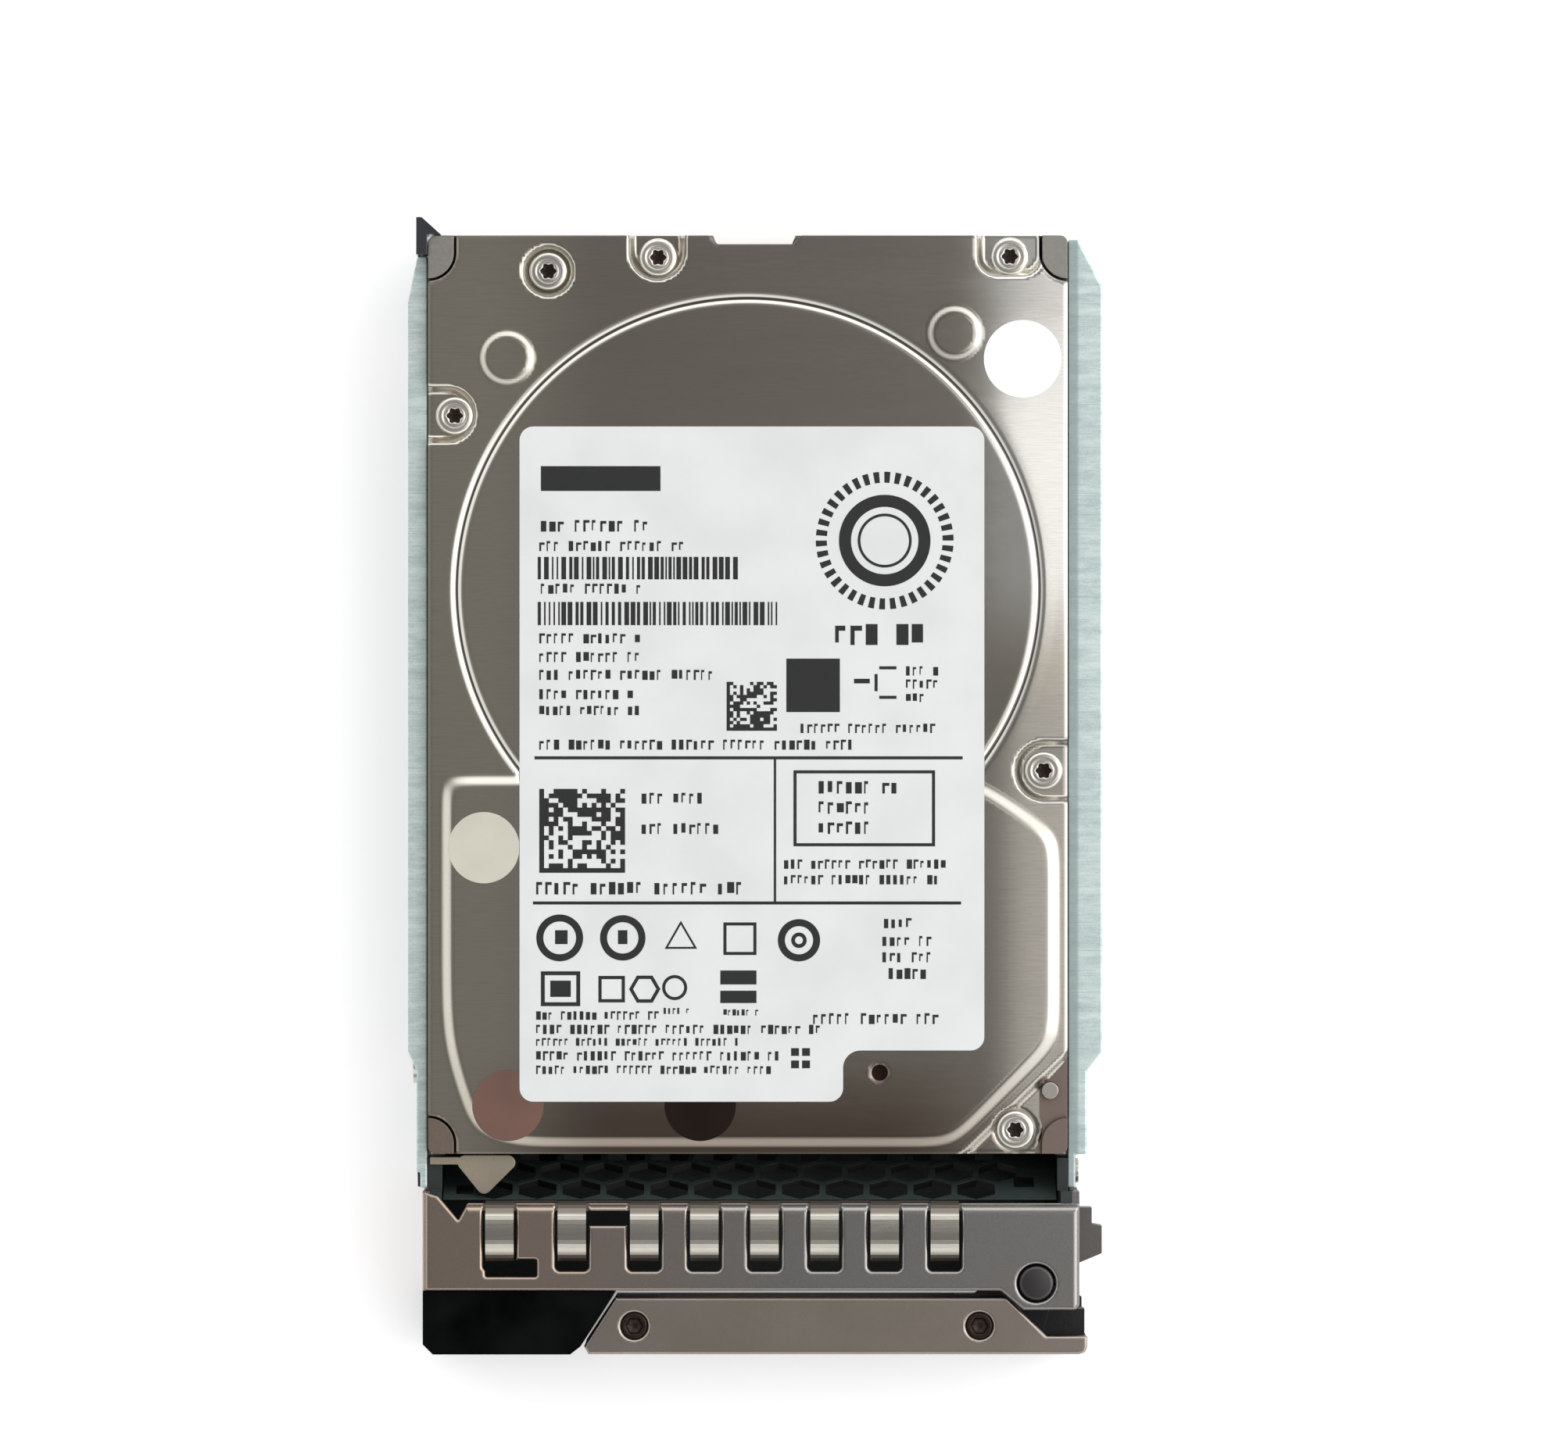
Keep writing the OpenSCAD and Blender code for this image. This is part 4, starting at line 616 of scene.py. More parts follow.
def cover_height(x, y, shading=False):
    """Edge level, plus the raised disc and arm field, less the screw seats and
    the low corner, plus two bosses and a slight roll at the sheet's own edge. For shading, the
    step at the disc field is left out, as the groove in the finish draws it."""
    r = np.hypot(x, y - disc_y)
    disc_step = inside(r - disc_r - 0.25, 0.9)
    field = inside(from_polygon(x, y, arm_field, 0.7) + 0.2, 1.7)
    z = edge_z + 0.5 * (field if shading else np.maximum(disc_step, field))
    low = inside(from_polygon(x, y, [(23.2, -50.6), (36.0, -50.6), (36.0, -38.2)], 0.1) + 0.1, 1.2)
    z = z - 0.55 * low * (1 - field)
    for cx, cy, cr in bosses:
        z = z + 0.30 * inside(from_circle(x, y, cx, cy, cr), 1.1)
    seats = np.minimum.reduce([
        from_circle(x, y, -21.8, half_l - 3.9, 2.5),
        from_box(x, y, -12.7, half_l - 4.6, -7.1, half_l + 6, 2.8),
        from_box(x, y, 25.3, half_l - 4.2, 32.0, half_l + 6, 2.0),
        from_box(x, y, -half_w - 6, disc_y + 16.3, -half_w + 4.9, disc_y + 21.9, 2.8),
        from_box(x, y, half_w - 5.5, disc_y - 22.9, half_w + 6, disc_y - 16.7, 3.1),
        from_circle(x, y, half_w - 5.7, -half_l + 2.6, 2.1)])
    sunk = inside(seats, 1.15)
    z = z * (1 - sunk) + seat_z * sunk
    sag = 0.25 * np.maximum((x - 21) / 14, 0) ** 2 * (1 - inside(r - disc_r, 3.0))
    return z - sag * (1 - sunk) - 0.12 * inside(-cover_outline(x, y) - 0.1, 0.6)


def bow(x, y):
    """Extra lean of the sheet towards +X, as a slope: none inside the ring or left of x = 24.5, and
    0.11 along the right side, where the pressed sheet has sprung back a little. It fades to a fifth
    at the rear corner and to under a half beside the arm field."""
    right = np.clip((x - 24.5) / 7, 0, 1)
    outside = 1 - inside(np.hypot(x, y - disc_y) - disc_r - 1.0, 1.5)
    front = np.clip((y - 2) / 16, 0.45, 1) * np.clip((46 - y) / 18, 0.2, 1)
    return 0.11 * right * right * (3 - 2 * right) * outside * front


print("disc centre at y", round(disc_y, 2))

# %% A sheet as a grid, trimmed at its outline
def pressed(step, corners, outline, height, lean=None):
    """Height over a square grid between two corners. Squares outside the outline are dropped, and
    the rim points are moved onto it along the distance's own slope. Gives the points, the quads,
    the worked-out normals, the rim points and the rim edges."""
    x = np.arange(corners[0], corners[2] + step, step)
    y = np.arange(corners[1], corners[3] + step, step)
    gx, gy = [g.ravel() for g in np.meshgrid(x, y, indexing="ij")]
    quads = grid_faces(len(x), len(y))[:, ::-1]
    quads = quads[outline(gx[quads].mean(1), gy[quads].mean(1)) < 0]
    edges = np.stack([quads, np.roll(quads, -1, 1)], -1).reshape(-1, 2)
    key = edges.min(1) * len(gx) + edges.max(1)
    _, first, count = np.unique(key, return_index=True, return_counts=True)
    rim_edges = edges[first[count == 1]]
    rim = np.unique(rim_edges)
    e = 0.01
    for _ in range(4):
        d = outline(gx[rim], gy[rim])
        sx = (outline(gx[rim] + e, gy[rim]) - outline(gx[rim] - e, gy[rim])) / (2 * e)
        sy = (outline(gx[rim], gy[rim] + e) - outline(gx[rim], gy[rim] - e)) / (2 * e)
        size = np.maximum(sx ** 2 + sy ** 2, 0.25)
        gx[rim], gy[rim] = gx[rim] - d * sx / size, gy[rim] - d * sy / size
    used = np.unique(quads)
    renumber = np.full(len(gx), -1)
    renumber[used] = np.arange(len(used))
    gx, gy, quads = gx[used], gy[used], renumber[quads]
    rim, rim_edges = renumber[rim], renumber[rim_edges]
    e = 0.02
    slope_x = (height(gx + e, gy, True) - height(gx - e, gy, True)) / (2 * e)
    slope_y = (height(gx, gy + e, True) - height(gx, gy - e, True)) / (2 * e)
    if lean is not None:
        slope_x = slope_x - lean(gx, gy)
    normals = np.stack([-slope_x, -slope_y, np.ones_like(gx)], 1)
    normals /= np.linalg.norm(normals, axis=1)[:, None]
    return np.stack([gx, gy, height(gx, gy)], 1), quads, normals, rim, rim_edges


def set_top_normals(made, normals, quad_count):
    """The first quads of a piece get the worked-out normals; all other faces stay flat."""
    mesh = made.data
    corner = np.empty(len(mesh.loops), int)
    mesh.loops.foreach_get("vertex_index", corner)
    flat = np.empty(len(mesh.polygons) * 3)
    mesh.polygons.foreach_get("normal", flat)
    counts = np.empty(len(mesh.polygons), int)
    mesh.polygons.foreach_get("loop_total", counts)
    loops = np.repeat(flat.reshape(-1, 3), counts, axis=0)
    on_top = np.arange(len(corner)) < quad_count * 4
    loops[on_top] = normals[corner[on_top]]
    mesh.normals_split_custom_set(loops.tolist())


# %% The cover, closed below
def below(x, y, under):
    """The underside: `under`, or half a millimetre below the lowest place near by."""
    near = [cover_height(x + a, y + b) for a in (-0.8, 0, 0.8) for b in (-0.8, 0, 0.8)]
    return np.minimum(under, np.minimum.reduce(near) - 0.5)


def make_cover():
    """Puts the sheet together: top, rim wall and underside, with worked-out normals on top."""
    from mathutils.geometry import delaunay_2d_cdt
    under = lid_z - 1.2
    top, quads, normals, rim, rim_edges = pressed(
        0.3, (-half_w, -half_l, half_w, half_l), cover_outline, cover_height, bow)
    n = len(top)
    lower = {int(v): n + i for i, v in enumerate(rim)}
    low_rim = np.column_stack([top[rim, 0], top[rim, 1], below(top[rim, 0], top[rim, 1], under)])
    wall = [(b, a, lower[a], lower[b]) for a, b in rim_edges.tolist()]
    cx, cy = [g.ravel() for g in np.meshgrid(np.arange(-34, 34.5, 1.0), np.arange(-49.5, 50, 1.0))]
    keep = cover_outline(cx, cy) < -0.5
    spots = np.column_stack([np.r_[low_rim[:, 0], cx[keep]], np.r_[low_rim[:, 1], cy[keep]]])
    links = [(lower[a] - n, lower[b] - n) for a, b in rim_edges.tolist()]
    made = delaunay_2d_cdt([Vector(p) for p in spots.tolist()], links, [], 0, 1e-6)
    order = [ids[0] for ids in made[3]]
    shut = np.array(made[2])
    mid = np.array([list(v) for v in made[0]])[shut].mean(1)
    shut = np.array(order)[shut[cover_outline(mid[:, 0], mid[:, 1]) < 0]]
    floor_points = np.column_stack([cx[keep], cy[keep], below(cx[keep], cy[keep], under)])
    points = np.concatenate([top, low_rim, floor_points])
    faces = quads.tolist() + wall + (shut[:, ::-1] + n).tolist()
    cover = piece("pressed_cover", placed(points), faces, slot="cover_steel")
    set_top_normals(cover, normals, len(quads))
    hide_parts("top_cover")
    print("cover points", len(points), "faces", len(faces))
    return cover


cover = make_cover()

# %% [markdown]
# Folded sheet and moulded parts are never quite sharp. A bevel of a few tenths of a millimetre on
# each piece that faces the viewer gives every edge the thin white line that real sheet has. The
# flat faces keep their own normals, so only the edges change. The rails have holes, which leave
# long thin faces beside them, so they stay plainly flat instead.

# %% Soft edges on the outer pieces
def soften(node, width, keep_flat=True):
    """A bevel of `width` millimetres on all edges that turn by more than 35 degrees."""
    weld = nodes[node].modifiers.new("joined_faces", "WELD")
    weld.merge_threshold = 0.002 * MM
    bevel = nodes[node].modifiers.new("soft_edges", "BEVEL")
    bevel.width, bevel.segments = width * MM, 3
    bevel.limit_method, bevel.angle_limit = "ANGLE", math.radians(35)
    bevel.use_clamp_overlap = True
    bevel.harden_normals = keep_flat
    return bevel


for node, width in [("latch_end", 0.35), ("grille_tongue", 0.2), ("light_pipe", 0.3)]:
    soften(node, width)
for node in ("left_rail", "right_rail"):
    soften(node, 0.2, keep_flat=False)
print("softened", sum(len(n.modifiers) for n in nodes.values()))

# %% [markdown]
# Screws and rivets are turned parts. One helper turns a profile about the Z axis; the rows of the
# socket get six lobes, which makes the star recess. The head is domed with a rolled edge and a
# raised ring about the socket.

# %% Turned parts
def turned(profile, sides=72, lobes=(), depth=0.0):
    """Points and faces of a closed turned part. `profile` lists (radius, height) from the bottom
    to the top, both ends at radius 0. Rows in `lobes` swing in and out six times by `depth`."""
    rows = np.asarray(profile, float)
    turn = np.linspace(0, 2 * math.pi, sides, endpoint=False)
    swing = np.zeros(len(rows))
    swing[list(lobes)] = depth
    r = rows[1:-1, 0, None] * (1 + swing[1:-1, None] * np.cos(6 * turn)[None])
    ring = np.stack([r * np.cos(turn), r * np.sin(turn),
                     np.repeat(rows[1:-1, 1, None], sides, 1)], -1)
    count = len(rows) - 2
    points = np.concatenate([ring.reshape(-1, 3), [[0, 0, rows[0, 1]], [0, 0, rows[-1, 1]]]])
    faces = grid_faces(count, sides, wrap_cols=True).tolist()
    low, high, last = count * sides, count * sides + 1, (count - 1) * sides
    faces += [(low, (k + 1) % sides, k) for k in range(sides)]
    faces += [(high, last + k, last + (k + 1) % sides) for k in range(sides)]
    return points, faces


def at_each(shape, spots):
    """One shape set down at several places (mm from the drive's centre)."""
    points, faces = shape
    return join([(points + np.array(spot), faces) for spot in spots])


head = [(0, -5), (0.85, -5), (0.85, 0), (2.1, 0), (2.1, 0.34), (2.06, 0.46), (1.96, 0.56),
        (1.78, 0.63), (1.5, 0.68), (1.34, 0.66), (1.24, 0.60), (1.14, 0.62), (1.02, 0.66),
        (0.88, 0.66), (0.80, 0.62), (0.76, 0.5), (0.74, 0.18), (0.6, 0.12), (0.3, 0.10), (0, 0.10)]
lid_spots = [(-21.8, half_l - 3.9, seat_z), (-9.8, half_l - 2.4, seat_z),
             (half_w - 6.3, half_l - 2.3, seat_z), (-half_w + 2.9, disc_y + 19, seat_z),
             (half_w - 2.6, disc_y - 19.8, seat_z), (half_w - 5.7, -half_l + 2.6, seat_z)]
points, faces = at_each(turned(head, lobes=(14, 15, 16, 17), depth=0.14), lid_spots)
screws = piece("star_screws", placed(points), faces, slot="screw_steel")
screws.data.materials.append(finishes["dark_screw"].material)
spots, sides = screws.data.vertices, screws.data.polygons
depth_below = np.array([min(spots[k].co.z for k in side.vertices) for side in sides]) / MM - seat_z
reach = np.array([side.center.to_tuple() for side in sides]) / MM
reach = reach - np.array([centre_x, centre_y, 0]) / MM
near = np.min([np.hypot(reach[:, 0] - x, reach[:, 1] - y) for x, y, _ in lid_spots], 0)
in_socket = (near < 0.8) & (depth_below < 0.5) & (depth_below > 0)
screws.data.polygons.foreach_set("material_index", in_socket.astype(int))
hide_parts("cover_screws")
print("screw points", len(points))

# %% [markdown]
# The pivot rivet has a flat head in a round hole of the shell. A small chamfer about the head and
# the dark gap beside it are all that shows. The two screws of the handle strip sit below the sheet,
# dark, with a hex socket.

# %% The pivot rivet and the strip screws
rivet_lo, rivet_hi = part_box("pivot_rivet")
rivet_x, rivet_y = (rivet_lo.x + rivet_hi.x) / 2 / MM, (rivet_lo.y + rivet_hi.y) / 2 / MM
rivet_r = (rivet_hi.x - rivet_lo.x) / 2 / MM
rivet_top, rivet_foot = rivet_hi.z / MM, rivet_lo.z / MM
under_head = rivet_top - 0.78
rivet_profile = [(0, rivet_foot), (1.45, rivet_foot), (1.48, rivet_foot + 0.05),
                 (1.48, under_head), (rivet_r - 0.1, under_head), (rivet_r - 0.1, rivet_top - 0.42),
                 (rivet_r - 0.12, rivet_top - 0.34), (rivet_r - 0.22, rivet_top - 0.2),
                 (rivet_r - 0.40, rivet_top - 0.08), (rivet_r - 0.55, rivet_top - 0.05),
                 (0, rivet_top - 0.04)]
points, faces = turned(rivet_profile, sides=96)
rivet = piece("domed_rivet", (points + np.array([rivet_x, rivet_y, 0])) * MM, faces,
              slot="rivet_steel")
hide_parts("pivot_rivet")
print("rivet radius", round(rivet_r, 2))

# %% [markdown]
# The shell's top and the handle strip are plates with many corners and openings, so they come from
# the same height method as the cover. An outline of straight sides gives the distance; the height
# follows a quarter round along every edge, and a larger one where the shell folds down behind.

# %% Distance from an outline of straight sides
def from_outline(x, y, corners):
    """How far outside any closed outline: least distance to its sides, negative inside, where a
    point is inside if a line from it crosses the sides an odd number of times."""
    a = np.asarray(corners, float)
    b = np.roll(a, -1, 0)
    least = np.full(np.shape(x), 1e9)
    within = np.zeros(np.shape(x), bool)
    for p, q in zip(a, b):
        run = q - p
        share = np.clip(((x - p[0]) * run[0] + (y - p[1]) * run[1]) / (run @ run), 0, 1)
        least = np.minimum(least, np.hypot(x - p[0] - share * run[0], y - p[1] - share * run[1]))
        if p[1] != q[1]:
            crosses = ((p[1] > y) != (q[1] > y)) & (x < p[0] + (y - p[1]) * run[0] / run[1])
            within ^= crosses
    return np.where(within, -least, least)


def quarter(depth, radius):
    """How far a rounded edge has dropped, at `depth` in from the edge."""
    t = np.clip(radius - depth, 0, radius * 0.985)
    return radius - np.sqrt(radius ** 2 - t ** 2)


def block(x0, y0, z0, x1, y1, z1):
    """A plain block as points and faces."""
    points = [(x, y, z) for x in (x0, x1) for y in (y0, y1) for z in (z0, z1)]
    return np.array(points, float), [(0, 1, 3, 2), (4, 6, 7, 5), (0, 4, 5, 1), (2, 3, 7, 6),
                                     (0, 2, 6, 4), (1, 5, 7, 3)]


def plate(name, node, slot, step, corners, outline, height, under, extra=(), body="carrier"):
    """A closed plate in place of a node: top by height, rim wall, flat underside, any blocks."""
    top, quads, normals, rim, rim_edges = pressed(step, corners, outline, height)
    n = len(top)
    low = top.copy()
    low[:, 2] = np.minimum(under, top[:, 2] - 0.15)
    wall = np.stack([rim_edges[:, 1], rim_edges[:, 0], rim_edges[:, 0] + n, rim_edges[:, 1] + n], 1)
    faces = np.concatenate([quads, wall, quads[:, ::-1] + n])
    points, faces = join([(np.concatenate([top, low]), faces), *extra])
    made = piece(name, placed(points), faces, body, slot=slot)
    set_top_normals(made, normals, len(quads))
    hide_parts(node)
    print(name, "points", len(points))
    return made


def drive_box(node):
    """A node's box in millimetres from the drive's centre."""
    lo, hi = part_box(node)
    return ((lo.x - centre_x) / MM, (lo.y - centre_y) / MM, lo.z / MM,
            (hi.x - centre_x) / MM, (hi.y - centre_y) / MM, hi.z / MM)


# %% The handle strip
sx0, sy0, sz0, sx1, sy1, sz1 = drive_box("handle_strip")
hinge_x, hinge_y = rivet_x - centre_x / MM, rivet_y - centre_y / MM
strip_corners = [(sx0 + 3.4, sy1), (sx0, sy0 + 0.9), (sx0 + 0.5, sy0), (sx1 - 0.9, sy0),
                 (sx1 - 0.25, sy0 + 0.25), (sx1, sy0 + 0.9), (sx1, sy1 - 4.2),
                 (hinge_x + 1.1, sy1 - 4.2), (hinge_x - 3.2, sy1)]
strip_holes = [(sx0 + 5.5, sy0 + 3.1), (hinge_x - 6.2, sy0 + 3.1)]


def strip_outline(x, y):
    """The strip's edge, less the two screw holes."""
    d = from_outline(x, y, strip_corners)
    for cx, cy in strip_holes:
        d = np.maximum(d, 1.5 - np.hypot(x - cx, y - cy))
    return d


def strip_height(x, y, shading=False):
    """Flat, with a quarter round of 0.3 mm along every edge."""
    return sz1 - quarter(-strip_outline(x, y), 0.3)


plate("face_strip", "handle_strip", "strip_steel", 0.2, (sx0, sy0, sx1, sy1), strip_outline,
      strip_height, sz0, body="handle")
socket_screw = [(0, -4.5), (0.8, -4.5), (0.8, 0), (1.45, 0), (1.45, 0.25), (1.38, 0.38),
                (1.2, 0.44), (0.98, 0.42), (0.86, 0.30), (0.80, 0.06), (0, 0.04)]
points, faces = at_each(turned(socket_screw, lobes=(8, 9), depth=0.08),
                        [(x, y, sz0) for x, y in strip_holes])
screws = piece("socket_screws", placed(points), faces, "handle", slot="dark_screw")
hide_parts("strip_screws")

# %% The front shell
hx0, hy0, hz0, hx1, hy1, hz1 = drive_box("front_shell")
shell_rear, shell_front = hy1 - 1.3, hy0 + 2.1
shell_corners = [(hx0, hy1), (hx0, shell_front), (hinge_x - 3.9, shell_front),
                 (hinge_x - 1.4, hy0), (hx1 - 0.5, hy0), (hx1, hy0 + 0.5), (hx1, shell_rear),
                 (hx0 + 4.9, shell_rear), (hx0 + 3.9, hy1 - 3.1), (hx0 + 1.7, hy1 - 0.5)]
finger_pitch, wide_pitch = 6.56, 7.9
finger_at = [hx1 - 14.7 - i * finger_pitch for i in range(6)]
finger_at += [hx1 - 14.7 - 5 * finger_pitch - i * wide_pitch for i in (1, 2)]
window_half, window_l = 1.85, 7.4


def shell_outline(x, y):
    """The shell's edge, less a window for each finger, two slots and the rivet's hole."""
    d = from_outline(x, y, shell_corners)
    for cx in finger_at:
        d = np.maximum(d, -from_box(x, y, cx - window_half, shell_rear - window_l,
                                    cx + window_half, shell_rear + 3, 0.55))
    x6, x7 = finger_at[6], finger_at[7]
    d = np.maximum(d, -from_box(x, y, x6 + window_half - 0.3, shell_rear - 2.4,
                                x6 + wide_pitch - window_half + 0.3, shell_rear - 0.8, 0.1))
    d = np.maximum(d, -from_box(x, y, x7 - window_half + 0.3, shell_rear - window_l - 0.6,
                                x7 + 4.05, shell_rear - window_l + 1.3, 0.15))
    return np.maximum(d, rivet_r + 0.06 - np.hypot(x - hinge_x, y - hinge_y))


def shell_height(x, y, shading=False):
    """Flat, with a quarter round of 0.32 mm at each edge and one of 1.1 mm at the rear fold."""
    fold = quarter(shell_rear - y, 1.1) * (x > hx0 + 4.9)
    side = quarter(np.minimum(x - hx0, hx1 - x), 0.7)
    return hz1 - np.maximum.reduce([quarter(-shell_outline(x, y), 0.32), fold, side])


low_slot, high_slot = 4.8, 10.6
walls = [block(hx0, shell_front, hz0, hx0 + 0.8, hy1, hz1 - 0.8),
         block(hx1 - 0.8, shell_front, hz0, hx1, hy1, low_slot),
         block(hx1 - 0.8, shell_front, high_slot, hx1, hy1, hz1 - 0.8),
         block(hx0 + 4.9, shell_rear - 0.8, hz1 - 3.4, hx1 - 2.1, shell_rear, hz1 - 0.85)]
plate("pressed_shell", "front_shell", "shell_steel", 0.2, (hx0, hy0, hx1, hy1), shell_outline,
      shell_height, hz1 - 0.8, walls)


# %% [markdown]
# Behind the button is a wound spring. A thin tube carried along a helix is the plain way to make
# it. It stays on the carrier.

# %% The button's spring
def wound(radius, wire, y0, y1, turns, sides=12, steps=36):
    """A closed tube along a helix about the Y axis: for each step of the turn, a small circle of
    wire that stands on the radius and on Y. The ends are closed with one flat face each."""
    share = np.linspace(0, 1, int(turns * steps) + 1)[:, None, None]
    angle = 2 * math.pi * turns * share
    small = (2 * math.pi * np.arange(sides) / sides)[None, :, None]
    reach = radius + wire * np.cos(small)
    rise = y0 + wire + (y1 - y0 - 2 * wire) * share + wire * np.sin(small)
    points = np.concatenate([reach * np.cos(angle), rise, reach * np.sin(angle)], 2)
    faces = grid_faces(len(share), sides, wrap_cols=True).tolist()
    last = (len(share) - 1) * sides
    faces += [list(range(sides))[::-1], [last + k for k in range(sides)]]
    return points.reshape(-1, 3), faces


spring_x0, spring_y0, spring_z0, spring_x1, spring_y1, spring_z1 = drive_box("button_spring")
spring_r, wire_r, button_travel = (spring_x1 - spring_x0) / 2, 0.15, 1.5
points, faces = wound(spring_r - wire_r, wire_r, spring_y0, spring_y1, 2)
points = points + np.array([(spring_x0 + spring_x1) / 2, 0, (spring_z0 + spring_z1) / 2])
spring = piece("wound_spring", placed(points), faces, slot="spring_wire")
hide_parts("button_spring")
spring_l = spring_y1 - spring_y0
(spring_l - button_travel) / spring_l
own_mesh(spring)
corners = np.array([v.co for v in spring.data.vertices])
around = np.array([[corners[p.vertices[0]], corners[p.vertices[k]], corners[p.vertices[k + 1]]]
                   for p in spring.data.polygons for k in range(1, len(p.vertices) - 1)])
print("spring length", round(spring_l, 2),
      "volume", round(float(np.linalg.det(around).sum() / 6 / MM ** 3), 2), "mm3")

# %% [markdown]
# The label is a white sticker with black print: rows of small type, bar stripes, two square codes,
# a round badge, rules and a box. All of it is drawn here as plain bars, blocks and rings that say
# nothing. A texture could carry it, but ink as thin raised bars needs no image, stays sharp at any
# distance, and shows in the exported shape too. Each row and mark has its place in millimetres
# from the corner of the label that is to the left and to the rear.

# %% Bars and rings of ink
label_low, label_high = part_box("label")
label_left = (label_low.x - centre_x) / MM
label_rear = (label_high.y - centre_y) / MM
ink_z0 = label_high.z / MM
ink_z1 = ink_z0 + 0.02
dice = np.random.default_rng(7)


def on_label(x, y):
    """Millimetres to the right of the label's left edge and forward of its rear edge, turned into
    millimetres from the drive's centre."""
    return label_left + np.asarray(x, float), label_rear - np.asarray(y, float)


def bars(rects):
    """Thin boxes from rows of x0, y0, x1, y1: the eight corners of all boxes at once."""
    r = np.asarray(rects, float).reshape(-1, 4)
    x = r[:, [0, 2, 2, 0, 0, 2, 2, 0]]
    y = r[:, [1, 1, 3, 3, 1, 1, 3, 3]]
    z = np.broadcast_to([ink_z0] * 4 + [ink_z1] * 4, x.shape)
    sides = np.array([[3, 2, 1, 0], [4, 5, 6, 7], [0, 1, 5, 4],
                      [1, 2, 6, 5], [2, 3, 7, 6], [3, 0, 4, 7]])
    faces = (np.arange(len(r))[:, None, None] * 8 + sides).reshape(-1, 4)
    return np.stack([x, y, z], -1).reshape(-1, 3), faces


def label_bars(rects):
    """The same from millimetres on the label, rows of left, rear, right, front."""
    r = np.asarray(rects, float).reshape(-1, 4)
    x0, y1 = on_label(r[:, 0], r[:, 1])
    x1, y0 = on_label(r[:, 2], r[:, 3])
    return bars(np.stack([x0, y0, x1, y1], 1))


def ink_ring(x, y, r0, r1, sides=64, start=0.0, turn=1.0):
    """A flat ring or arc: a four-cornered profile carried round a circle about a place on the
    label, from radius r0 to r1 in millimetres."""
    cx, cy = on_label(x, y)
    closed = turn >= 1.0
    a = start + 2 * math.pi * turn * np.arange(sides if closed else sides + 1) / sides
    rad = np.array([r0, r0, r1, r1])
    z = np.array([ink_z0, ink_z1, ink_z1, ink_z0])
    pts = np.stack([cx + np.outer(np.cos(a), rad), cy + np.outer(np.sin(a), rad),
                    np.broadcast_to(z, (len(a), 4))], -1).reshape(-1, 3)
    faces = grid_faces(len(a), 4, wrap_rows=closed, wrap_cols=True).tolist()
    if not closed:
        last = (len(a) - 1) * 4
        faces += [[0, 1, 2, 3], [last + 3, last + 2, last + 1, last]]
    return pts, faces


# %% Rows of type, stripes and square codes
def type_row(x0, x1, y, tall, weight=0.62, gap_every=7):
    """One row of small type as blocks: each sign is a block of random width and height, and a
    blank comes after every few signs."""
    pitch = tall * 0.73
    n = max(1, int((x1 - x0) / pitch))
    left = x0 + np.arange(n) * pitch
    wide = pitch * dice.uniform(weight - 0.2, weight + 0.16, n)
    rise = tall * dice.choice([0.5, 0.36, 0.5, 0.42], n)
    drop = tall * dice.choice([0.5, 0.5, 0.38, 0.5], n)
    blank = (np.arange(n) + dice.integers(0, 4)) % gap_every == gap_every - 1
    keep = ~blank
    full = np.stack([left, y - rise, left + wide, y + drop], 1)[keep]
    cut = dice.random(len(full)) < 0.6
    stem = wide[keep] * 0.36
    upper = full[cut].copy()
    upper[:, 3] = upper[:, 1] + tall * 0.24
    leg = full[cut].copy()
    leg[:, 1] = upper[:, 3] - 0.001
    leg[:, 2] = leg[:, 0] + stem[cut]
    return np.concatenate([full[~cut], upper, leg])


def stripes(x0, x1, y0, y1, unit=0.172):
    """Vertical stripes of random width with random gaps between them."""
    wide = dice.integers(1, 4, 400) * unit
    gaps = dice.integers(1, 3, 400) * unit
    left = x0 + np.cumsum(wide + gaps) - wide - gaps[0]
    rows = np.stack([left, np.full(400, y0), left + wide, np.full(400, y1)], 1)
    return rows[(rows[:, 2] <= x1)]


def square_code(x0, y0, x1, y1, n):
    """A square of n x n cells, about half of them dark, with a solid left and lower side."""
    dark = dice.random((n, n)) < 0.52
    dark[:, 0] = True
    dark[-1, :] = True
    row, col = np.nonzero(dark)
    wide, deep, overlap = (x1 - x0) / n, (y1 - y0) / n, 0.004
    return np.stack([x0 + col * wide, y0 + row * deep,
                     x0 + (col + 1) * wide + overlap, y0 + (row + 1) * deep + overlap], 1)


def frame_lines(x0, y0, x1, y1, t):
    """An empty box drawn with four lines."""
    return np.array([[x0, y0, x1, y0 + t], [x0, y1 - t, x1, y1], [x0, y0 + t, x0 + t, y1 - t],
                     [x1 - t, y0 + t, x1, y1 - t]])


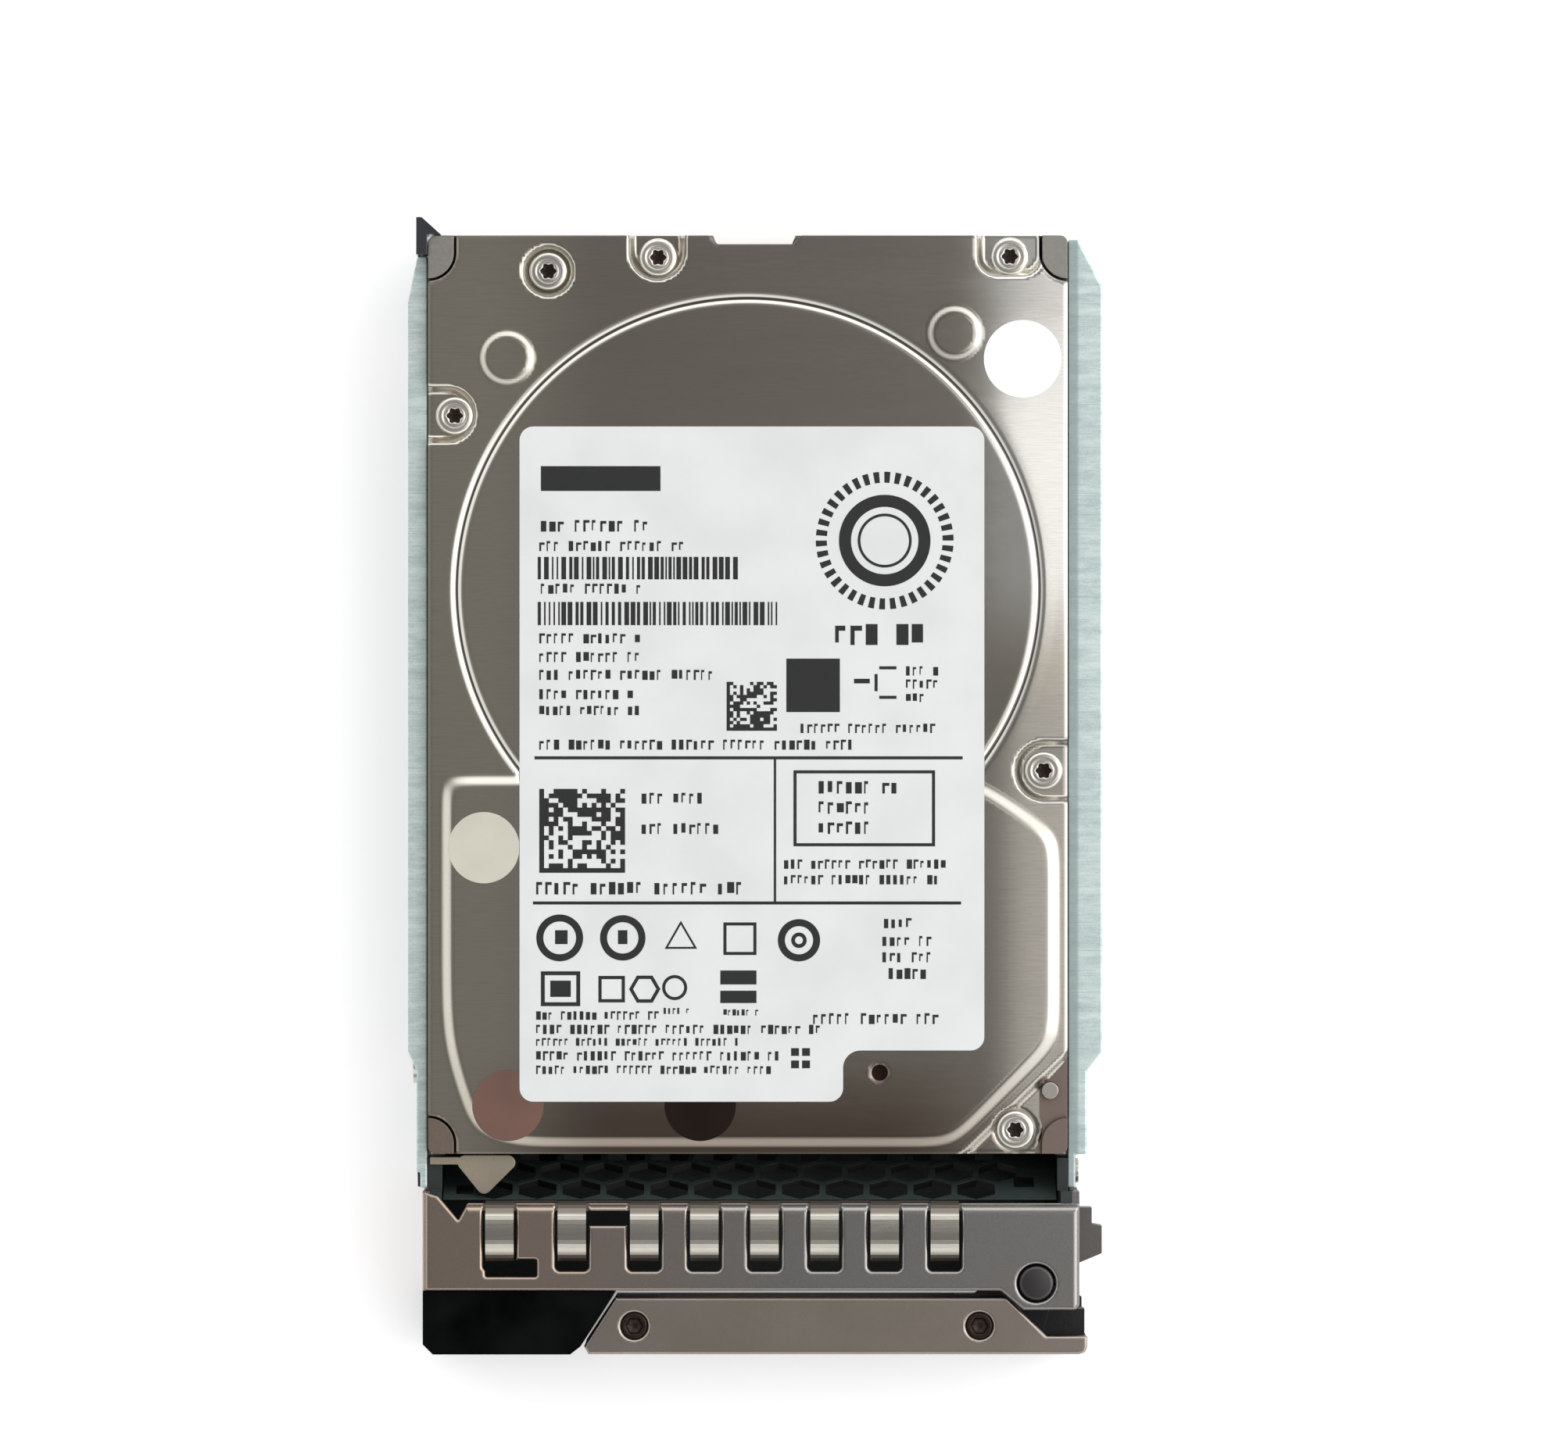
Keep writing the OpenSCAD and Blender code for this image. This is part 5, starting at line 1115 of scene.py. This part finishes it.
# %% The whole print
rows = [
    [[2.33, 4.33, 15.39, 7.04]], type_row(2.33, 14.7, 10.85, 1.27),
    type_row(2.16, 18.31, 13.06, 1.1), stripes(1.99, 23.89, 14.24, 16.7),
    type_row(2.33, 14.36, 17.72, 1.1), stripes(1.99, 28.28, 19.16, 21.7),
    type_row(2.16, 13.67, 23.14, 1.1), type_row(2.16, 14.19, 25.18, 1.1),
    type_row(2.16, 22.43, 27.13, 1.1), type_row(2.16, 12.98, 29.24, 1.1),
    type_row(2.16, 13.67, 31.02, 1.02), type_row(2.16, 37.04, 34.75, 1.1),
    square_code(22.61, 27.89, 28.1, 33.23, 15), [[29.13, 25.35, 34.98, 31.19]],
    type_row(42.19, 46.23, 26.7, 1.02), type_row(42.19, 47, 28.14, 1.02),
    type_row(42.19, 44.77, 29.58, 1.02),
    [[36.52, 27.55, 38.24, 28.06], [39.27, 26.19, 41.16, 26.53]],
    [[39.27, 29.41, 41.16, 29.75], [38.76, 27.04, 39.1, 28.91]],
    type_row(30.68, 45.63, 32.97, 1.02), type_row(34.46, 44.6, 22.72, 2.29, 0.7, 4),
    [[1.64, 36.02, 48.38, 36.36], [1.47, 51.87, 48.21, 52.21]], [[27.76, 36.36, 28.02, 51.87]],
    square_code(2.16, 39.58, 11.52, 48.74, 18), type_row(13.33, 20.37, 40.6, 1.19),
    type_row(13.33, 22.26, 43.91, 1.19), type_row(1.82, 25.35, 50.43, 1.36),
    frame_lines(29.91, 37.55, 45.37, 45.85, 0.34), type_row(32.66, 41.68, 39.41, 1.36),
    type_row(32.66, 39.96, 41.62, 1.36), type_row(32.66, 39.1, 43.82, 1.36),
    type_row(28.88, 46.83, 47.8, 1.02), type_row(28.88, 46.32, 49.5, 1.02),
    [[3.88, 55.01, 5.25, 56.53], [10.75, 55.01, 11.78, 56.53]],
    frame_lines(22.26, 54.16, 25.87, 57.72, 0.34), frame_lines(2.33, 59.5, 6.63, 63.31, 0.43),
    [[3.36, 60.52, 5.6, 62.3]], [[21.92, 59.41, 25.87, 60.94], [21.92, 61.62, 25.87, 62.97]],
    type_row(15.73, 19.17, 63.82, 0.68), type_row(22.26, 26.56, 63.99, 0.68),
    type_row(39.79, 44.43, 54.24, 1.1), type_row(39.62, 45.63, 56.19, 1.1),
    type_row(39.62, 45.63, 57.97, 1.1), type_row(40.3, 45.29, 59.75, 1.19),
    type_row(32.06, 46.66, 64.67, 1.19), type_row(1.82, 15.73, 64.33, 0.93),
    type_row(1.82, 33.14, 65.85, 1.02), type_row(1.82, 24.32, 67.21, 0.85),
    type_row(1.82, 28.67, 68.74, 1.02), type_row(1.82, 27.76, 70.26, 0.93),
    [[29.65, 67.89, 30.51, 68.74], [30.85, 67.89, 31.71, 68.74]],
    [[29.65, 69.24, 30.51, 70.09], [30.85, 69.24, 31.71, 70.09]],
]
badge_x, badge_y = 39.87, 12.46
spokes = [ink_ring(badge_x, badge_y, 6.32, 7.52, 2, a, 0.014)
          for a in np.linspace(0, 2 * math.pi, 38, endpoint=False)]
rings = [ink_ring(badge_x, badge_y, 3.68, 5), ink_ring(badge_x, badge_y, 2.65, 2.95),
         ink_ring(4.39, 55.85, 1.79, 2.56), ink_ring(11.27, 55.85, 1.71, 2.48),
         ink_ring(17.62, 56.02, 1.62, 2.05, 3, -0.52), ink_ring(30.51, 56.11, 1.54, 2.31),
         ink_ring(30.51, 56.11, 0.43, 0.85, 24), ink_ring(10.06, 61.45, 1.54, 2.05, 4, 0.785),
         ink_ring(13.67, 61.45, 1.28, 1.71, 6), ink_ring(16.94, 61.28, 1.03, 1.37, 48)]
all_bars = label_bars(np.concatenate([np.asarray(r, float) for r in rows]))
ink_points, ink_faces = join([all_bars] + rings + spokes)
ink = Finish("ink_finish")
flecks = ink.noise((3, 3, 3), detail=4, rough=0.7)
ink.set(base_color=ink.blend(ink.between(flecks, 0.6, 0.85) * 0.3, linear("161718"),
                             linear("4a4b4d")),
        roughness=0.42 + flecks * 0.2, normal=ink.bump(flecks, 0.002))
label_print = piece("label_print", placed(ink_points), ink_faces, smooth=False)
label_print.data.materials.append(ink.material)
print("ink faces", len(ink_faces))

# %% [markdown]
# The last cell brings the view layer up to date.

# %% The end
bpy.context.view_layer.update()
